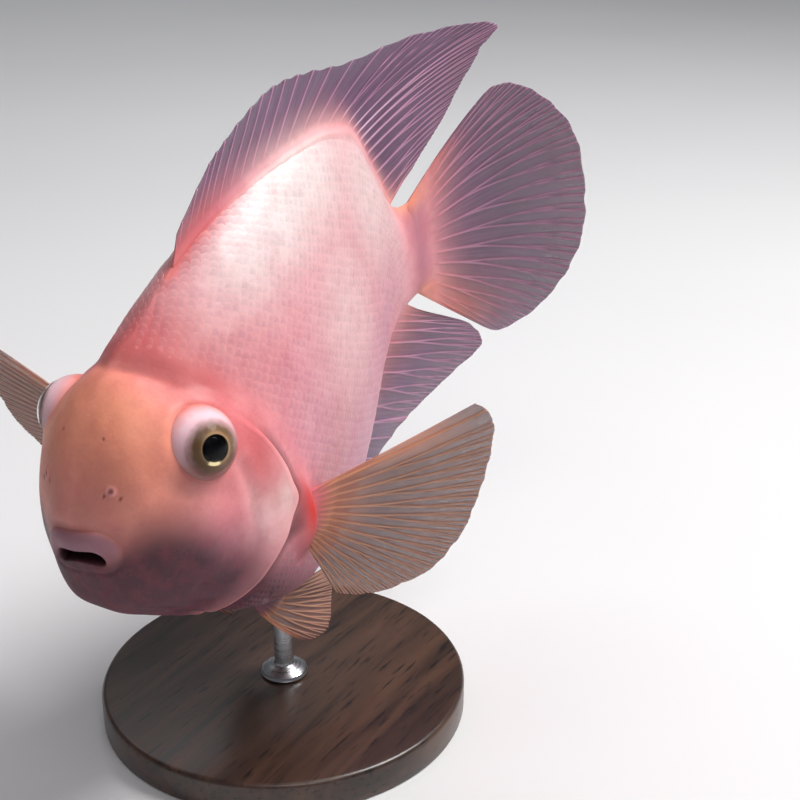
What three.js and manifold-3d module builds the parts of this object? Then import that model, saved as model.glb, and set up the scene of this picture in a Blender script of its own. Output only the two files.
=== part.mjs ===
// A blood parrot cichlid at life size, swimming with its head a little down and its tail fin swept to its
// left, as a still museum model on a small display stand. Millimetres, +Z up, the head towards -X and its
// left side towards -Y. The origin is the centre of the underside of the stand's base.
import * as THREE from "three";
import { mergeVertices } from "three/addons/utils/BufferGeometryUtils.js";
import Module from "manifold-3d";

const wasm = await Module();
wasm.setup();

// Driving dimensions
const STANDARD_LENGTH = 145; // from the lips to the root of the tail fin
const GAP = 0.3; // between two nodes that touch
const PITCH = THREE.MathUtils.degToRad(11.2); // how far the head dips
const BELLY_CLEARANCE = 34; // from the top of the base up to the belly at the rod

// The stand: a round base, and a turned rod with a foot that stands in the base and runs into the belly
const BASE = { radius: 50, height: 9, bevel: 1.6, sides: 56 };
const ROD = { radius: 2.6, sides: 20, inBase: 6, inBelly: 9, foot: 6.5, footHeight: 3.2 };
const ROD_SHARE = 0.45; // where along the fish the rod enters the belly

// How the tail end swings to the fish's left: the heading, in radians, rises with the share of the length
const SWING = { start: 0.59, reach: 0.77, angle: 1.15, rise: 2.5 };

// Outlines of the body: [share of the standard length back from the lips, share of it up or across]
const BACK = profile([[0, -0.021], [0.005, 0.012], [0.026, 0.056], [0.056, 0.103], [0.097, 0.152],
  [0.138, 0.183], [0.179, 0.201], [0.241, 0.23], [0.323, 0.272], [0.426, 0.31], [0.549, 0.33],
  [0.672, 0.336], [0.774, 0.326], [0.846, 0.287], [0.897, 0.185], [0.938, 0.111], [1, 0.103],
  [1.072, 0.103]]);
const BELLY = profile([[0, -0.051], [0.005, -0.135], [0.021, -0.167], [0.056, -0.192], [0.108, -0.231],
  [0.179, -0.289], [0.282, -0.357], [0.405, -0.402], [0.538, -0.39], [0.672, -0.316], [0.795, -0.205],
  [0.897, -0.118], [0.959, -0.101], [1.072, -0.103]]);
const HALF_WIDTH = profile([[0, 0.004], [0.005, 0.048], [0.026, 0.08], [0.056, 0.118], [0.108, 0.148],
  [0.179, 0.164], [0.282, 0.181], [0.385, 0.176], [0.538, 0.15], [0.692, 0.107], [0.815, 0.066],
  [0.918, 0.037], [1, 0.023], [1.072, 0.021]]);

// The body's cross-section against an ellipse, at the lips and from the nape back
const RIDGE = { atLips: 0.85, atNape: 1.4, from: 0.05, to: 0.2 }; // over 1 the upper half narrows to a ridge
const FLANK = { atLips: 0.55, atNape: 0.8 }; // under 1 the lower half is fuller
const LOW_CHEEKS = 0.14; // how much wider the lower half is than the upper
const TAIL_ROOT_SHARE = 0.995;
const TAIL_STALK_SHARE = 0.9;

// The gill opening from the nape to the throat: [turn from the back's ridge (0) to the belly's middle (1),
// share of the length]. The gill cover is the plate in front of it.
const GILL_EDGE = curveThrough([[0, 0.144], [0.175, 0.177], [0.264, 0.208], [0.333, 0.239], [0.401, 0.278],
  [0.463, 0.296], [0.521, 0.305], [0.56, 0.305], [0.61, 0.284], [0.68, 0.246], [0.8, 0.205], [0.9, 0.179],
  [1, 0.164]]);
const GILL_FLARE = 1.7; // how far the rim of the gill cover stands off the flank
const GILL_COVER = { top: 0.4, bottom: 0.93, narrow: 0.03, wide: 0.11, thick: 2.6 };
const FACE_SHARE = 0.245; // where the face between head and torso crosses the middle line

// The mouth is an arch that can't close. Its lines run from the middle to a corner: [left, up, back] shares
const UPPER_LIP = [[0, -0.02, 0], [0.02, -0.015, 0.002], [0.038, -0.014, 0.007], [0.049, -0.024, 0.011],
  [0.053, -0.041, 0.012], [0.05, -0.06, 0.012]];
const LOWER_LIP = [[0, -0.08, 0.002], [0.02, -0.077, 0.002], [0.036, -0.073, 0.004], [0.047, -0.066, 0.009]];
const MOUTH_SLIT = [[0, -0.051, 0.004], [0.02, -0.047, 0.005], [0.036, -0.047, 0.008], [0.046, -0.06, 0.012]];
const LIP = { upper: 1.8, lower: 1.5, slit: 1.1, corner: 0.7, sides: 6 };
const NOSTRIL = { share: 0.043, turn: 0.21, rim: 0.85, tube: 0.38, pit: 0.62 };

// Eyes: balls that bulge from the sides of the head, each turned a little forwards and up
const EYE = { share: 0.177, up: 0.07, left: 0.119, radius: 8.8, segments: 20 };
const GAZE = [-0.315, 0.906, 0.282]; // back, left, up
const CORNEA = { radius: 4.5, rise: 0.55, groove: 0.3 };

// Fins: the thickness of the membrane at its root and rim, and how far a ray stands out of it on each side
const MEMBRANE = { root: 1.6, rim: 0.5, ray: 0.32 };
const DORSAL = {
  root: lineThrough([[0.318, 0.256], [0.426, 0.287], [0.59, 0.308], [0.744, 0.287], [0.846, 0.226],
    [0.918, 0.108]]),
  rim: lineThrough([[0.359, 0.318], [0.454, 0.385], [0.503, 0.412], [0.588, 0.442], [0.665, 0.451],
    [0.756, 0.437], [0.88, 0.414], [1.065, 0.41], [1.222, 0.39], [1.187, 0.345], [1.138, 0.284],
    [1.082, 0.221], [1, 0.159]]),
  rays: 27,
  out: 8,
};
const ANAL = {
  root: lineThrough([[0.59, -0.338], [0.692, -0.272], [0.795, -0.185], [0.877, -0.118], [0.928, -0.092]]),
  rim: lineThrough([[0.651, -0.379], [0.754, -0.39], [0.869, -0.369], [0.957, -0.35], [1.052, -0.324],
    [1.137, -0.287], [1.123, -0.236], [1.062, -0.19], [0.99, -0.144]]),
  rays: 15,
  out: 7,
};
const CAUDAL = {
  root: lineThrough([[0.974, 0.092], [0.969, 0.051], [0.967, 0], [0.969, -0.051], [0.974, -0.092]]),
  rim: lineThrough([[1.158, 0.231], [1.226, 0.269], [1.305, 0.233], [1.37, 0.154], [1.39, 0.003],
    [1.361, -0.133], [1.282, -0.232], [1.188, -0.269], [1.133, -0.236]]),
  rays: 16,
  out: 8,
};

// The paired fins fan out from their roots. Places are shares of the standard length, and directions are
// [back, left, up] for the left side. lengths runs from the leading ray (0) to the last (1), as shares.
const PECTORAL_ROOT = { root: [0.333, 0.165, -0.16], rootLine: [-1, -2, -12], rays: 14, out: 6, curl: 0.04,
  bend: 0, thick: { root: 4, rim: 0.5 },
  lengths: [[0, 0.335], [0.08, 0.348], [0.3, 0.315], [0.55, 0.27], [0.8, 0.2], [1, 0.13]] };
const PECTORAL_LEFT = { ...PECTORAL_ROOT, side: 1, first: [0.74, 0.63, 0.24], last: [0.1, 0.35, -0.9] };
const PECTORAL_RIGHT = { ...PECTORAL_ROOT, side: -1, first: [-0.1, 0.81, 0.6], last: [0.1, 0.95, -0.35] };
const PELVIC_LEFT = { root: [0.318, 0.062, -0.365], rootLine: [7, 2, -1], rays: 7, out: 6, curl: 0,
  bend: 0.25, thick: { root: 3, rim: 0.5 }, side: 1, first: [0.3, 0.2, -0.93], last: [0.95, 0.1, -0.35],
  lengths: [[0, 0.16], [0.2, 0.18], [0.5, 0.165], [1, 0.11]] };
const PELVIC_RIGHT = { ...PELVIC_LEFT, side: -1 };

const MATERIALS = {
  skin_head: { color: 0xe8845c, roughness: 0.4 },
  skin_body: { color: 0xf2b3ae, roughness: 0.4 },
  eye: { color: 0xe6cfc6, roughness: 0.15 },
  fin: { color: 0xa9839c, roughness: 0.45 },
  fin_paired: { color: 0xb98a5e, roughness: 0.45 },
  base: { color: 0x2b2422, roughness: 0.35 },
  metal: { color: 0xb9bcc0, roughness: 0.25, metalness: 1 },
};

// A smooth curve through points [x, y], as a function of x
function curveThrough(points) {
  const at = points.map((point) => point[0]);
  const sizes = points.map((point) => point[1]);
  const curve = new THREE.CubicInterpolant(at, sizes, 1, new Float64Array(1));
  return (x) => curve.evaluate(x)[0];
}

// An outline in millimetres against the share of the standard length, blunt at the lips
function profile(points) {
  const curve = curveThrough(points.map(([share, size]) => [Math.sqrt(share), size]));
  return (share) => STANDARD_LENGTH * curve(Math.sqrt(Math.max(share, 0)));
}

// A smooth line through points [x, y], as a function of how far along it
function lineThrough(points) {
  const curve = new THREE.SplineCurve(points.map(([x, y]) => new THREE.Vector2(x, y)));
  return (t) => curve.getPoint(t).toArray();
}

function smooth(low, high, x) {
  return THREE.MathUtils.smoothstep(x, low, high);
}

const mix = THREE.MathUtils.lerp;

// The fish's bent middle line in small steps: where each share lies, back and to the left, and its heading
const SPINE_STEP = 0.005;
const spine = [{ back: 0, left: 0, angle: 0 }];
for (let share = SPINE_STEP; share < 1.7; share += SPINE_STEP) {
  const last = spine[spine.length - 1];
  const angle = SWING.angle * Math.max((share - SWING.start) / SWING.reach, 0) ** SWING.rise;
  spine.push({
    back: last.back + SPINE_STEP * Math.cos(angle),
    left: last.left + SPINE_STEP * Math.sin(angle),
    angle,
  });
}

// Takes a point of the straight fish (share back from the lips, mm to the left, mm up) to the bent one
function pose(share, left, up) {
  const place = Math.max(share, 0) / SPINE_STEP;
  const i = Math.min(Math.floor(place), spine.length - 2);
  const t = place - i;
  const angle = mix(spine[i].angle, spine[i + 1].angle, t);
  const back = mix(spine[i].back, spine[i + 1].back, t) + Math.min(share, 0);
  const across = mix(spine[i].left, spine[i + 1].left, t);
  return new THREE.Vector3(
    back * STANDARD_LENGTH - left * Math.sin(angle),
    -(across * STANDARD_LENGTH + left * Math.cos(angle)),
    up,
  );
}

// How far the skin is lifted towards the rim of the gill cover
function flare(share, turn) {
  const edge = GILL_EDGE(turn);
  return GILL_FLARE * smooth(0.3, 0.45, turn) * smooth(1, 0.85, turn) * smooth(edge - 0.09, edge, share);
}

// A point of the skin. Round runs once about the body from the back's ridge, down the left side first. Depth
// is 1 on the skin and 0 in the middle, grow moves it out in mm, and rim is 1 where the gill cover flares.
function skin(share, round, { depth = 1, grow = 0, rim = 0 } = {}) {
  const turn = 1 - Math.abs(1 - 2 * round);
  const top = BACK(share) + grow;
  const bottom = BELLY(share) - grow;
  const middle = (top + bottom) / 2;
  const c = Math.cos(turn * Math.PI);
  const behind = smooth(RIDGE.from, RIDGE.to, share);
  const ridge = mix(RIDGE.atLips, RIDGE.atNape, behind);
  const flank = mix(FLANK.atLips, FLANK.atNape, behind);
  const across = Math.sin(turn * Math.PI) ** mix(flank, ridge, (1 + c) / 2) * (round > 0.5 ? -1 : 1);
  const wide = (HALF_WIDTH(share) + grow) * (1 - LOW_CHEEKS * c) + rim * flare(share, turn);
  return pose(share, depth * wide * across, middle + depth * ((top - bottom) / 2) * c);
}

// The skin's outward direction at a point
function skinNormal(share, round) {
  const step = 0.004;
  const along = skin(share + step, round).sub(skin(share - step, round));
  const about = skin(share, round + step).sub(skin(share, round - step));
  return along.cross(about).normalize();
}

// A closed solid from a geometry, turned right side out
function solidOf(geometry) {
  const bare = geometry.index ? geometry.toNonIndexed() : geometry.clone();
  bare.deleteAttribute("normal");
  bare.deleteAttribute("uv");
  const merged = mergeVertices(bare, 1e-4);
  const triVerts = new Uint32Array(merged.index.array);
  const vertProperties = merged.attributes.position.array;
  const made = new wasm.Manifold(new wasm.Mesh({ numProp: 3, vertProperties, triVerts }));
  if (made.volume() > 0) return made;
  return new wasm.Manifold(new wasm.Mesh({ numProp: 3, vertProperties, triVerts: triVerts.reverse() }));
}

// A closed solid from a list of triangles of points
function solid(triangles) {
  const flat = new Float32Array(triangles.flat().flatMap((p) => [p.x, p.y, p.z]));
  return solidOf(new THREE.BufferGeometry().setAttribute("position", new THREE.BufferAttribute(flat, 3)));
}

function largest(made) {
  return made.decompose().sort((a, b) => b.volume() - a.volume())[0];
}

// Rings of points, closed by a point at each end
function skinned(first, rings, last) {
  const triangles = [];
  const around = rings[0].length;
  const end = rings[rings.length - 1];
  for (let j = 0; j < around; j++) {
    const k = (j + 1) % around;
    triangles.push([first, rings[0][j], rings[0][k]]);
    for (let i = 0; i + 1 < rings.length; i++) {
      const [a, b, c, d] = [rings[i][j], rings[i][k], rings[i + 1][k], rings[i + 1][j]];
      triangles.push([a, d, b], [b, d, c]);
    }
    triangles.push([last, end[k], end[j]]);
  }
  return solid(triangles);
}

// A length of the body between two edges, each a function of the turn, with a curved face across each cut end
function bodyLength({ from, to, steps, around, grow = 0, rim = 0, faceFrom, faceTo, crowd = 1 }) {
  const ring = (shareAt, depth) =>
    Array.from({ length: around }, (_, j) =>
      skin(shareAt(1 - Math.abs(1 - (2 * j) / around)), j / around, { depth, grow, rim }));
  const cut = faceFrom !== undefined;
  const faceDepths = [0.45, 0.8];
  const rings = [];
  if (cut) {
    for (const depth of faceDepths) rings.push(ring((turn) => mix(faceFrom, from(turn), depth ** 2), depth));
  }
  for (let i = cut ? 0 : 1; i <= steps; i++) {
    rings.push(ring((turn) => mix(from(turn), to(turn), (i / steps) ** crowd), 1));
  }
  for (const depth of [...faceDepths].reverse()) {
    rings.push(ring((turn) => mix(faceTo, to(turn), depth ** 2), depth));
  }
  return skinned(skin(cut ? faceFrom : 0, 0, { depth: 0 }), rings, skin(faceTo, 0, { depth: 0 }));
}

// A sheet with both faces cut into triangles alike. at(a, b, i) gives { middle, normal, thick } at a across
// and b outwards, in column i.
function sheet(across, out, at) {
  const faces = [1, -1].map((side) =>
    Array.from({ length: across + 1 }, (_, i) =>
      Array.from({ length: out + 1 }, (_, j) => {
        const { middle, normal, thick } = at(i / across, j / out, i);
        return middle.clone().addScaledVector(normal, (side * thick) / 2);
      })));
  const [near, far] = faces;
  const triangles = [];
  for (let i = 0; i < across; i++) {
    for (let j = 0; j < out; j++) {
      const corners = (face) => [face[i][j], face[i + 1][j], face[i][j + 1], face[i + 1][j + 1]];
      const [a, b, c, d] = corners(near);
      const [e, f, g, h] = corners(far);
      triangles.push([a, b, c], [b, d, c], [e, g, f], [f, g, h]);
    }
  }
  const edge = (p, q, r, s) => triangles.push([p, q, r], [q, s, r]);
  for (let i = 0; i < across; i++) {
    edge(near[i][0], far[i][0], near[i + 1][0], far[i + 1][0]);
    edge(near[i][out], near[i + 1][out], far[i][out], far[i + 1][out]);
  }
  for (let j = 0; j < out; j++) {
    edge(near[0][j], near[0][j + 1], far[0][j], far[0][j + 1]);
    edge(near[across][j], far[across][j], near[across][j + 1], far[across][j + 1]);
  }
  return solid(triangles);
}

// The membrane's thickness, with every second column raised as a ray that sinks in towards the rim
function rayed(column, outwards, thick) {
  const ray = column % 2 ? 2 * MEMBRANE.ray * (1 - 0.8 * outwards ** 2) : 0;
  return mix(thick.root, thick.rim, Math.sqrt(outwards)) + ray;
}

// A fin in the fish's middle plane
function medianFin({ root, rim, rays, out }) {
  return sheet(rays * 2, out, (a, b, column) => {
    const [from, to] = [root(a), rim(a)];
    const share = mix(from[0], to[0], b);
    const up = mix(from[1], to[1], b) * STANDARD_LENGTH;
    const middle = pose(share, 0, up);
    const normal = pose(share, 1, up).sub(middle);
    return { middle, normal, thick: rayed(column, b, MEMBRANE) };
  });
}

// A fin of one side: a fan of rays in a plane, cupped by curl and bent back by bend
function pairedFin({ side, root, rootLine, first, last, lengths, rays, out, curl, bend, thick }) {
  const onSide = ([back, left, up]) => new THREE.Vector3(back, -side * left, up);
  const centre = pose(root[0], side * root[1] * STANDARD_LENGTH, root[2] * STANDARD_LENGTH);
  const [from, to] = [onSide(first).normalize(), onSide(last).normalize()];
  const normal = from.clone().cross(to).normalize();
  const lengthAt = curveThrough(lengths);
  return sheet(rays * 2, out, (a, b, column) => {
    const length = lengthAt(a) * STANDARD_LENGTH;
    const middle = from.clone().applyAxisAngle(normal, from.angleTo(to) * a).multiplyScalar(b * length);
    middle.add(centre).addScaledVector(onSide(rootLine), a - 0.5);
    middle.addScaledVector(normal, curl * length * b * b);
    middle.x += bend * length * b * b;
    return { middle, normal, thick: rayed(column, b, thick) };
  });
}

// A tapered roll along a line of the mouth, the same on both sides
function roll(points, radius) {
  const onSide = (side) => ([left, up, back]) =>
    new THREE.Vector3(back, -side * left, up).multiplyScalar(STANDARD_LENGTH);
  const [, ...away] = points;
  const line = new THREE.CatmullRomCurve3([...away.map(onSide(-1)).reverse(), ...points.map(onSide(1))]);
  const steps = 14;
  const frames = line.computeFrenetFrames(steps, false);
  const rings = Array.from({ length: steps + 1 }, (_, i) => {
    const size = mix(LIP.corner, radius, smooth(1, 0.55, Math.abs((2 * i) / steps - 1)));
    return Array.from({ length: LIP.sides }, (_, j) => {
      const angle = (2 * Math.PI * j) / LIP.sides;
      return line.getPointAt(i / steps)
        .addScaledVector(frames.normals[i], size * Math.cos(angle))
        .addScaledVector(frames.binormals[i], size * Math.sin(angle));
    });
  });
  return skinned(line.getPointAt(0), rings, line.getPointAt(1));
}

const HALF_GAP = GAP / 2 / STANDARD_LENGTH;
const GILL_GAP = 1.8 * HALF_GAP; // the gill opening lies aslant, which narrows it
const AROUND = 36;
const headLength = {
  from: () => 0,
  to: (turn) => GILL_EDGE(turn) - GILL_GAP,
  steps: 18,
  crowd: 1.7,
  around: AROUND,
  faceTo: FACE_SHARE - GILL_GAP,
};
const torsoLength = {
  from: (turn) => GILL_EDGE(turn) + GILL_GAP,
  to: () => TAIL_STALK_SHARE - HALF_GAP,
  steps: 17,
  around: AROUND,
  faceFrom: FACE_SHARE + GILL_GAP,
  faceTo: TAIL_STALK_SHARE - HALF_GAP,
};
const stalkLength = {
  from: () => TAIL_STALK_SHARE + HALF_GAP,
  to: () => TAIL_ROOT_SHARE,
  steps: 5,
  around: 28,
  faceFrom: TAIL_STALK_SHARE + HALF_GAP,
  faceTo: TAIL_ROOT_SHARE,
};

function nostril(side) {
  const round = side > 0 ? NOSTRIL.turn / 2 : 1 - NOSTRIL.turn / 2;
  const upright = new THREE.Vector3(0, 0, 1);
  const out = new THREE.Quaternion().setFromUnitVectors(upright, skinNormal(NOSTRIL.share, round));
  const at = skin(NOSTRIL.share, round);
  const place = (geometry) => solidOf(geometry.applyQuaternion(out).translate(at.x, at.y, at.z));
  return {
    rim: place(new THREE.TorusGeometry(NOSTRIL.rim, NOSTRIL.tube, 5, 9)),
    pit: place(new THREE.SphereGeometry(NOSTRIL.pit, 7, 5)),
  };
}

// The gill cover of one side as a slab about the skin, which cuts its plate out of the head
function gillCoverSlab(side, grow) {
  const { top, bottom, narrow, wide, thick } = GILL_COVER;
  return sheet(14, 6, (a, b) => {
    const turn = mix(top, bottom, a) + (grow / STANDARD_LENGTH) * 2 * (2 * a - 1);
    const width = mix(narrow, wide, Math.sin(Math.PI * a) ** 0.7) + grow / STANDARD_LENGTH;
    const share = GILL_EDGE(turn) + mix(-width, 0.03, b);
    const round = side > 0 ? turn / 2 : 1 - turn / 2;
    const middle = skin(share, round, { rim: 1 });
    return { middle, normal: skinNormal(share, round), thick: 2 * (thick + grow) };
  });
}

// An eyeball turned along its axis: a ball with a groove round a domed cornea
function eyeball(side, grow = 0) {
  const size = EYE.radius + grow;
  const corneaAngle = Math.asin(CORNEA.radius / EYE.radius);
  const outline = [];
  for (let i = 0; i <= 8; i++) {
    const angle = mix(Math.PI, corneaAngle + 0.08, i / 8);
    outline.push(new THREE.Vector2(size * Math.sin(angle), size * Math.cos(angle)));
  }
  const dome = (share) => new THREE.Vector2(
    size * Math.sin(corneaAngle * share),
    size * Math.cos(corneaAngle * share) + mix(CORNEA.rise, -CORNEA.groove, share ** 2),
  );
  outline.push(dome(1), dome(0.7), dome(0.35), dome(0));
  outline[0].x = 0;
  const ball = new THREE.LatheGeometry(outline, EYE.segments);
  const gaze = new THREE.Vector3(GAZE[0], -side * GAZE[1], GAZE[2]).normalize();
  ball.applyQuaternion(new THREE.Quaternion().setFromUnitVectors(new THREE.Vector3(0, 1, 0), gaze));
  const at = pose(EYE.share, side * EYE.left * STANDARD_LENGTH, EYE.up * STANDARD_LENGTH);
  return solidOf(ball.translate(at.x, at.y, at.z));
}

// The head, with its lips, nostrils and gill covers
const sides = { left: 1, right: -1 };
const sockets = [eyeball(sides.left, GAP), eyeball(sides.right, GAP)];
const wholeHead = bodyLength({ ...headLength, rim: 1 });
const nostrils = [nostril(sides.left), nostril(sides.right)];
const added = [roll(UPPER_LIP, LIP.upper), roll(LOWER_LIP, LIP.lower), ...nostrils.map((n) => n.rim)];
const cutAway = [
  roll(MOUTH_SLIT, LIP.slit),
  ...nostrils.map((n) => n.pit),
  ...sockets,
  gillCoverSlab(sides.left, GAP / 2),
  gillCoverSlab(sides.right, GAP / 2),
];
const withForms = added.reduce((made, form) => made.add(form), wholeHead);
const head = largest(cutAway.reduce((made, tool) => made.subtract(tool), withForms));
const gillCover = (side) =>
  largest(wholeHead.intersect(gillCoverSlab(side, -GAP / 2)).subtract(sockets[0]).subtract(sockets[1]));

// Places the fish over the base, with the rod's hole in its belly
const fish = new THREE.Group();
fish.rotation.y = -PITCH;
const rodAt = skin(ROD_SHARE, 0.5).applyEuler(fish.rotation);
fish.position.set(-rodAt.x, 0, BASE.height + BELLY_CLEARANCE - rodAt.z);
fish.updateMatrixWorld(true);

// Something turned about the stand's upright axis, from an outline of [radius, height]
function turned(outline, segments) {
  const line = outline.map(([radius, height]) => new THREE.Vector2(radius, height));
  return new THREE.LatheGeometry(line, segments).rotateX(Math.PI / 2);
}

function hole(bottom, top) {
  const radius = ROD.radius + GAP;
  return turned([[0, bottom], [radius, bottom], [radius, top], [0, top]], ROD.sides);
}

const rodTop = BASE.height + BELLY_CLEARANCE + ROD.inBelly;
const holeInBelly = solidOf(hole(BASE.height, rodTop + GAP).applyMatrix4(fish.matrixWorld.clone().invert()));

const torso = bodyLength(torsoLength).subtract(holeInBelly);

// The same lengths a gap larger, which clear the roots of the fins
const PAST_TAIL_ROOT = TAIL_ROOT_SHARE + 2 * HALF_GAP;
const grown = [
  bodyLength({ ...headLength, grow: GAP }),
  bodyLength({ ...torsoLength, grow: GAP }),
  bodyLength({ ...stalkLength, to: () => PAST_TAIL_ROOT, faceTo: PAST_TAIL_ROOT, grow: GAP }),
];
const rooted = (fin) => largest(grown.reduce((left, length) => left.subtract(length), fin));

function geometryOf(made) {
  const { vertProperties, triVerts } = made.getMesh();
  const geometry = new THREE.BufferGeometry();
  geometry.setAttribute("position", new THREE.BufferAttribute(new Float32Array(vertProperties), 3));
  geometry.setIndex(new THREE.BufferAttribute(new Uint32Array(triVerts), 1));
  geometry.computeVertexNormals();
  return geometry;
}

function named(name, geometry, material) {
  const mesh = new THREE.Mesh(geometry, new THREE.MeshStandardMaterial(MATERIALS[material]));
  mesh.name = name;
  return mesh;
}

const flesh = [
  ["head", head, "skin_head"],
  ["gill_cover_left", gillCover(sides.left), "skin_head"],
  ["gill_cover_right", gillCover(sides.right), "skin_head"],
  ["torso", largest(torso.subtract(sockets[0]).subtract(sockets[1])), "skin_body"],
  ["tail_stalk", bodyLength(stalkLength), "skin_body"],
  ["eye_left", eyeball(sides.left), "eye"],
  ["eye_right", eyeball(sides.right), "eye"],
  ["dorsal_fin", rooted(medianFin(DORSAL)), "fin"],
  ["anal_fin", rooted(medianFin(ANAL)), "fin"],
  ["tail_fin", rooted(medianFin(CAUDAL)), "fin"],
  ["pectoral_fin_left", rooted(pairedFin(PECTORAL_LEFT)), "fin_paired"],
  ["pectoral_fin_right", rooted(pairedFin(PECTORAL_RIGHT)), "fin_paired"],
  ["pelvic_fin_left", rooted(pairedFin(PELVIC_LEFT)), "fin_paired"],
  ["pelvic_fin_right", rooted(pairedFin(PELVIC_RIGHT)), "fin_paired"],
];
for (const [name, made, material] of flesh) fish.add(named(name, geometryOf(made), material));

// The stand
function baseSolid() {
  const { radius, height, bevel, sides: around } = BASE;
  const outline = [[0, 0], [radius - bevel / 2, 0], [radius, bevel / 2], [radius, height - bevel],
    [radius - bevel * 0.3, height - bevel * 0.3], [radius - bevel, height], [0, height]];
  return solidOf(turned(outline, around)).subtract(solidOf(hole(height - ROD.inBase - GAP, height + 1)));
}

function rodGeometry() {
  const { radius, foot, footHeight } = ROD;
  const ground = BASE.height + GAP;
  const bottom = BASE.height - ROD.inBase;
  const outline = [[0, bottom], [radius, bottom], [radius, ground], [foot, ground],
    [foot, ground + footHeight * 0.5], [mix(radius, foot, 0.6), ground + footHeight * 0.8],
    [radius, ground + footHeight], [radius, rodTop], [0, rodTop]];
  return turned(outline, ROD.sides);
}

const model = new THREE.Group();
model.add(fish);
model.add(named("stand_base", geometryOf(baseSolid()), "base"));
model.add(named("stand_rod", rodGeometry(), "metal"));

export default model;
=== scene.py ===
"""The looks of a life-size museum model of a blood parrot cichlid: skin, scales, fins, eyes and stand.

Metres, +Z up, the head towards -X and the fish's left side towards -Y. The fish is shaped in a frame of its
own, level and with its lips at the origin, and is then dipped and lifted over its stand.
"""
import math

import bmesh
import bpy
import numpy as np
from mathutils import Matrix, Vector, noise


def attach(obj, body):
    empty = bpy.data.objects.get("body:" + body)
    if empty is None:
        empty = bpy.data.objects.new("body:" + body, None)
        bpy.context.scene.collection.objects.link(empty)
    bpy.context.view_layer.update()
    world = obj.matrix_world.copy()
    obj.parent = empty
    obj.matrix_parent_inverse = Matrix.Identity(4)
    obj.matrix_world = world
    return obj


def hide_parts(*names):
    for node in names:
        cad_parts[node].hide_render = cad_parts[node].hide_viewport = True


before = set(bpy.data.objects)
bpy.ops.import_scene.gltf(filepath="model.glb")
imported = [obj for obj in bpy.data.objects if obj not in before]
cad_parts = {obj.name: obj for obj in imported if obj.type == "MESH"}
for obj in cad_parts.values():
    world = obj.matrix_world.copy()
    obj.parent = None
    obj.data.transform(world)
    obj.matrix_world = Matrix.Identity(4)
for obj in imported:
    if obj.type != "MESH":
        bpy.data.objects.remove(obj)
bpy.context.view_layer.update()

# The fish's size and pose, which the solids have too
MM = 0.001
LENGTH = 145 * MM  # from the lips to the root of the tail fin
PITCH = math.radians(11.2)  # how far the head dips
BASE_HEIGHT = 9 * MM
BELLY_HEIGHT = BASE_HEIGHT + 34 * MM
ROD_SHARE = 0.45  # where the rod enters the belly
# The tail's bend to the fish's left, in shares of the length and radians
SWING = {"start": 0.59, "reach": 0.77, "angle": 1.15, "rise": 2.5}

LEFT, RIGHT = 1, -1
SIDE_NAMES = {LEFT: "left", RIGHT: "right"}


def mix(a, b, t):
    """From a to b as t goes from 0 to 1."""
    return a + (b - a) * t


def smooth(low, high, x):
    """0 up to low, 1 from high on, and an even rise between them. Low may be the larger one."""
    t = np.clip((x - low) / (high - low), 0, 1)
    return t * t * (3 - 2 * t)


def hump(x, width):
    """A soft bump about 0."""
    return np.exp(-((x / width) ** 2))


def curve_through(points):
    """A smooth curve through points (x, y), as a function of x, level past both ends."""
    x, y = np.array(points, float).T
    slope = np.diff(y) / np.diff(x)
    lean = np.concatenate([slope[:1], (slope[1:] + slope[:-1]) / 2, slope[-1:]])

    def at(value):
        value = np.clip(value, x[0], x[-1])
        i = np.clip(np.searchsorted(x, value, side="right") - 1, 0, len(x) - 2)
        step = x[i + 1] - x[i]
        t = (value - x[i]) / step
        low = (1 + 2 * t) * (1 - t) ** 2 * y[i] + t * (1 - t) ** 2 * step * lean[i]
        return low + t * t * (3 - 2 * t) * y[i + 1] + t * t * (t - 1) * step * lean[i + 1]

    return at


def profile(points):
    """An outline in metres against the share of the length, blunt at the lips."""
    curve = curve_through([(math.sqrt(share), size) for share, size in points])
    return lambda share: LENGTH * curve(np.sqrt(np.maximum(share, 0)))


def line_through(points):
    """A smooth line through points, as a function of how far along it, from 0 to 1."""
    points = np.array(points, float)
    padded = np.concatenate([points[:1], points, points[-1:]])

    def at(t):
        place = np.clip(np.asarray(t, float), 0, 1) * (len(points) - 1)
        i = np.minimum(place.astype(int), len(points) - 2)
        p = (place - i)[..., None]
        before, first, last, after = (padded[i + k] for k in range(4))
        out, back = (last - before) / 2, (after - first) / 2
        cubic = 2 * first - 2 * last + out + back
        return ((cubic * p - 3 * first + 3 * last - 2 * out - back) * p + out) * p + first

    return at


# Outlines of the body: [share of the length back from the lips, share of it up or across]
BACK = profile([[0, -0.021], [0.005, 0.012], [0.026, 0.056], [0.056, 0.103], [0.097, 0.152],
                [0.138, 0.183], [0.179, 0.201], [0.241, 0.23], [0.323, 0.272], [0.426, 0.31],
                [0.549, 0.33], [0.672, 0.336], [0.774, 0.326], [0.846, 0.287], [0.897, 0.185],
                [0.938, 0.111], [1, 0.103], [1.072, 0.103]])
BELLY = profile([[0, -0.051], [0.005, -0.135], [0.021, -0.167], [0.056, -0.192], [0.108, -0.231],
                 [0.179, -0.289], [0.282, -0.357], [0.405, -0.402], [0.538, -0.39], [0.672, -0.316],
                 [0.795, -0.205], [0.897, -0.118], [0.959, -0.101], [1.072, -0.103]])
HALF_WIDTH = profile([[0, 0.004], [0.005, 0.048], [0.026, 0.08], [0.056, 0.118], [0.108, 0.148],
                      [0.179, 0.164], [0.282, 0.181], [0.385, 0.176], [0.538, 0.15], [0.692, 0.107],
                      [0.815, 0.066], [0.918, 0.037], [1, 0.023], [1.072, 0.021]])
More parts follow.
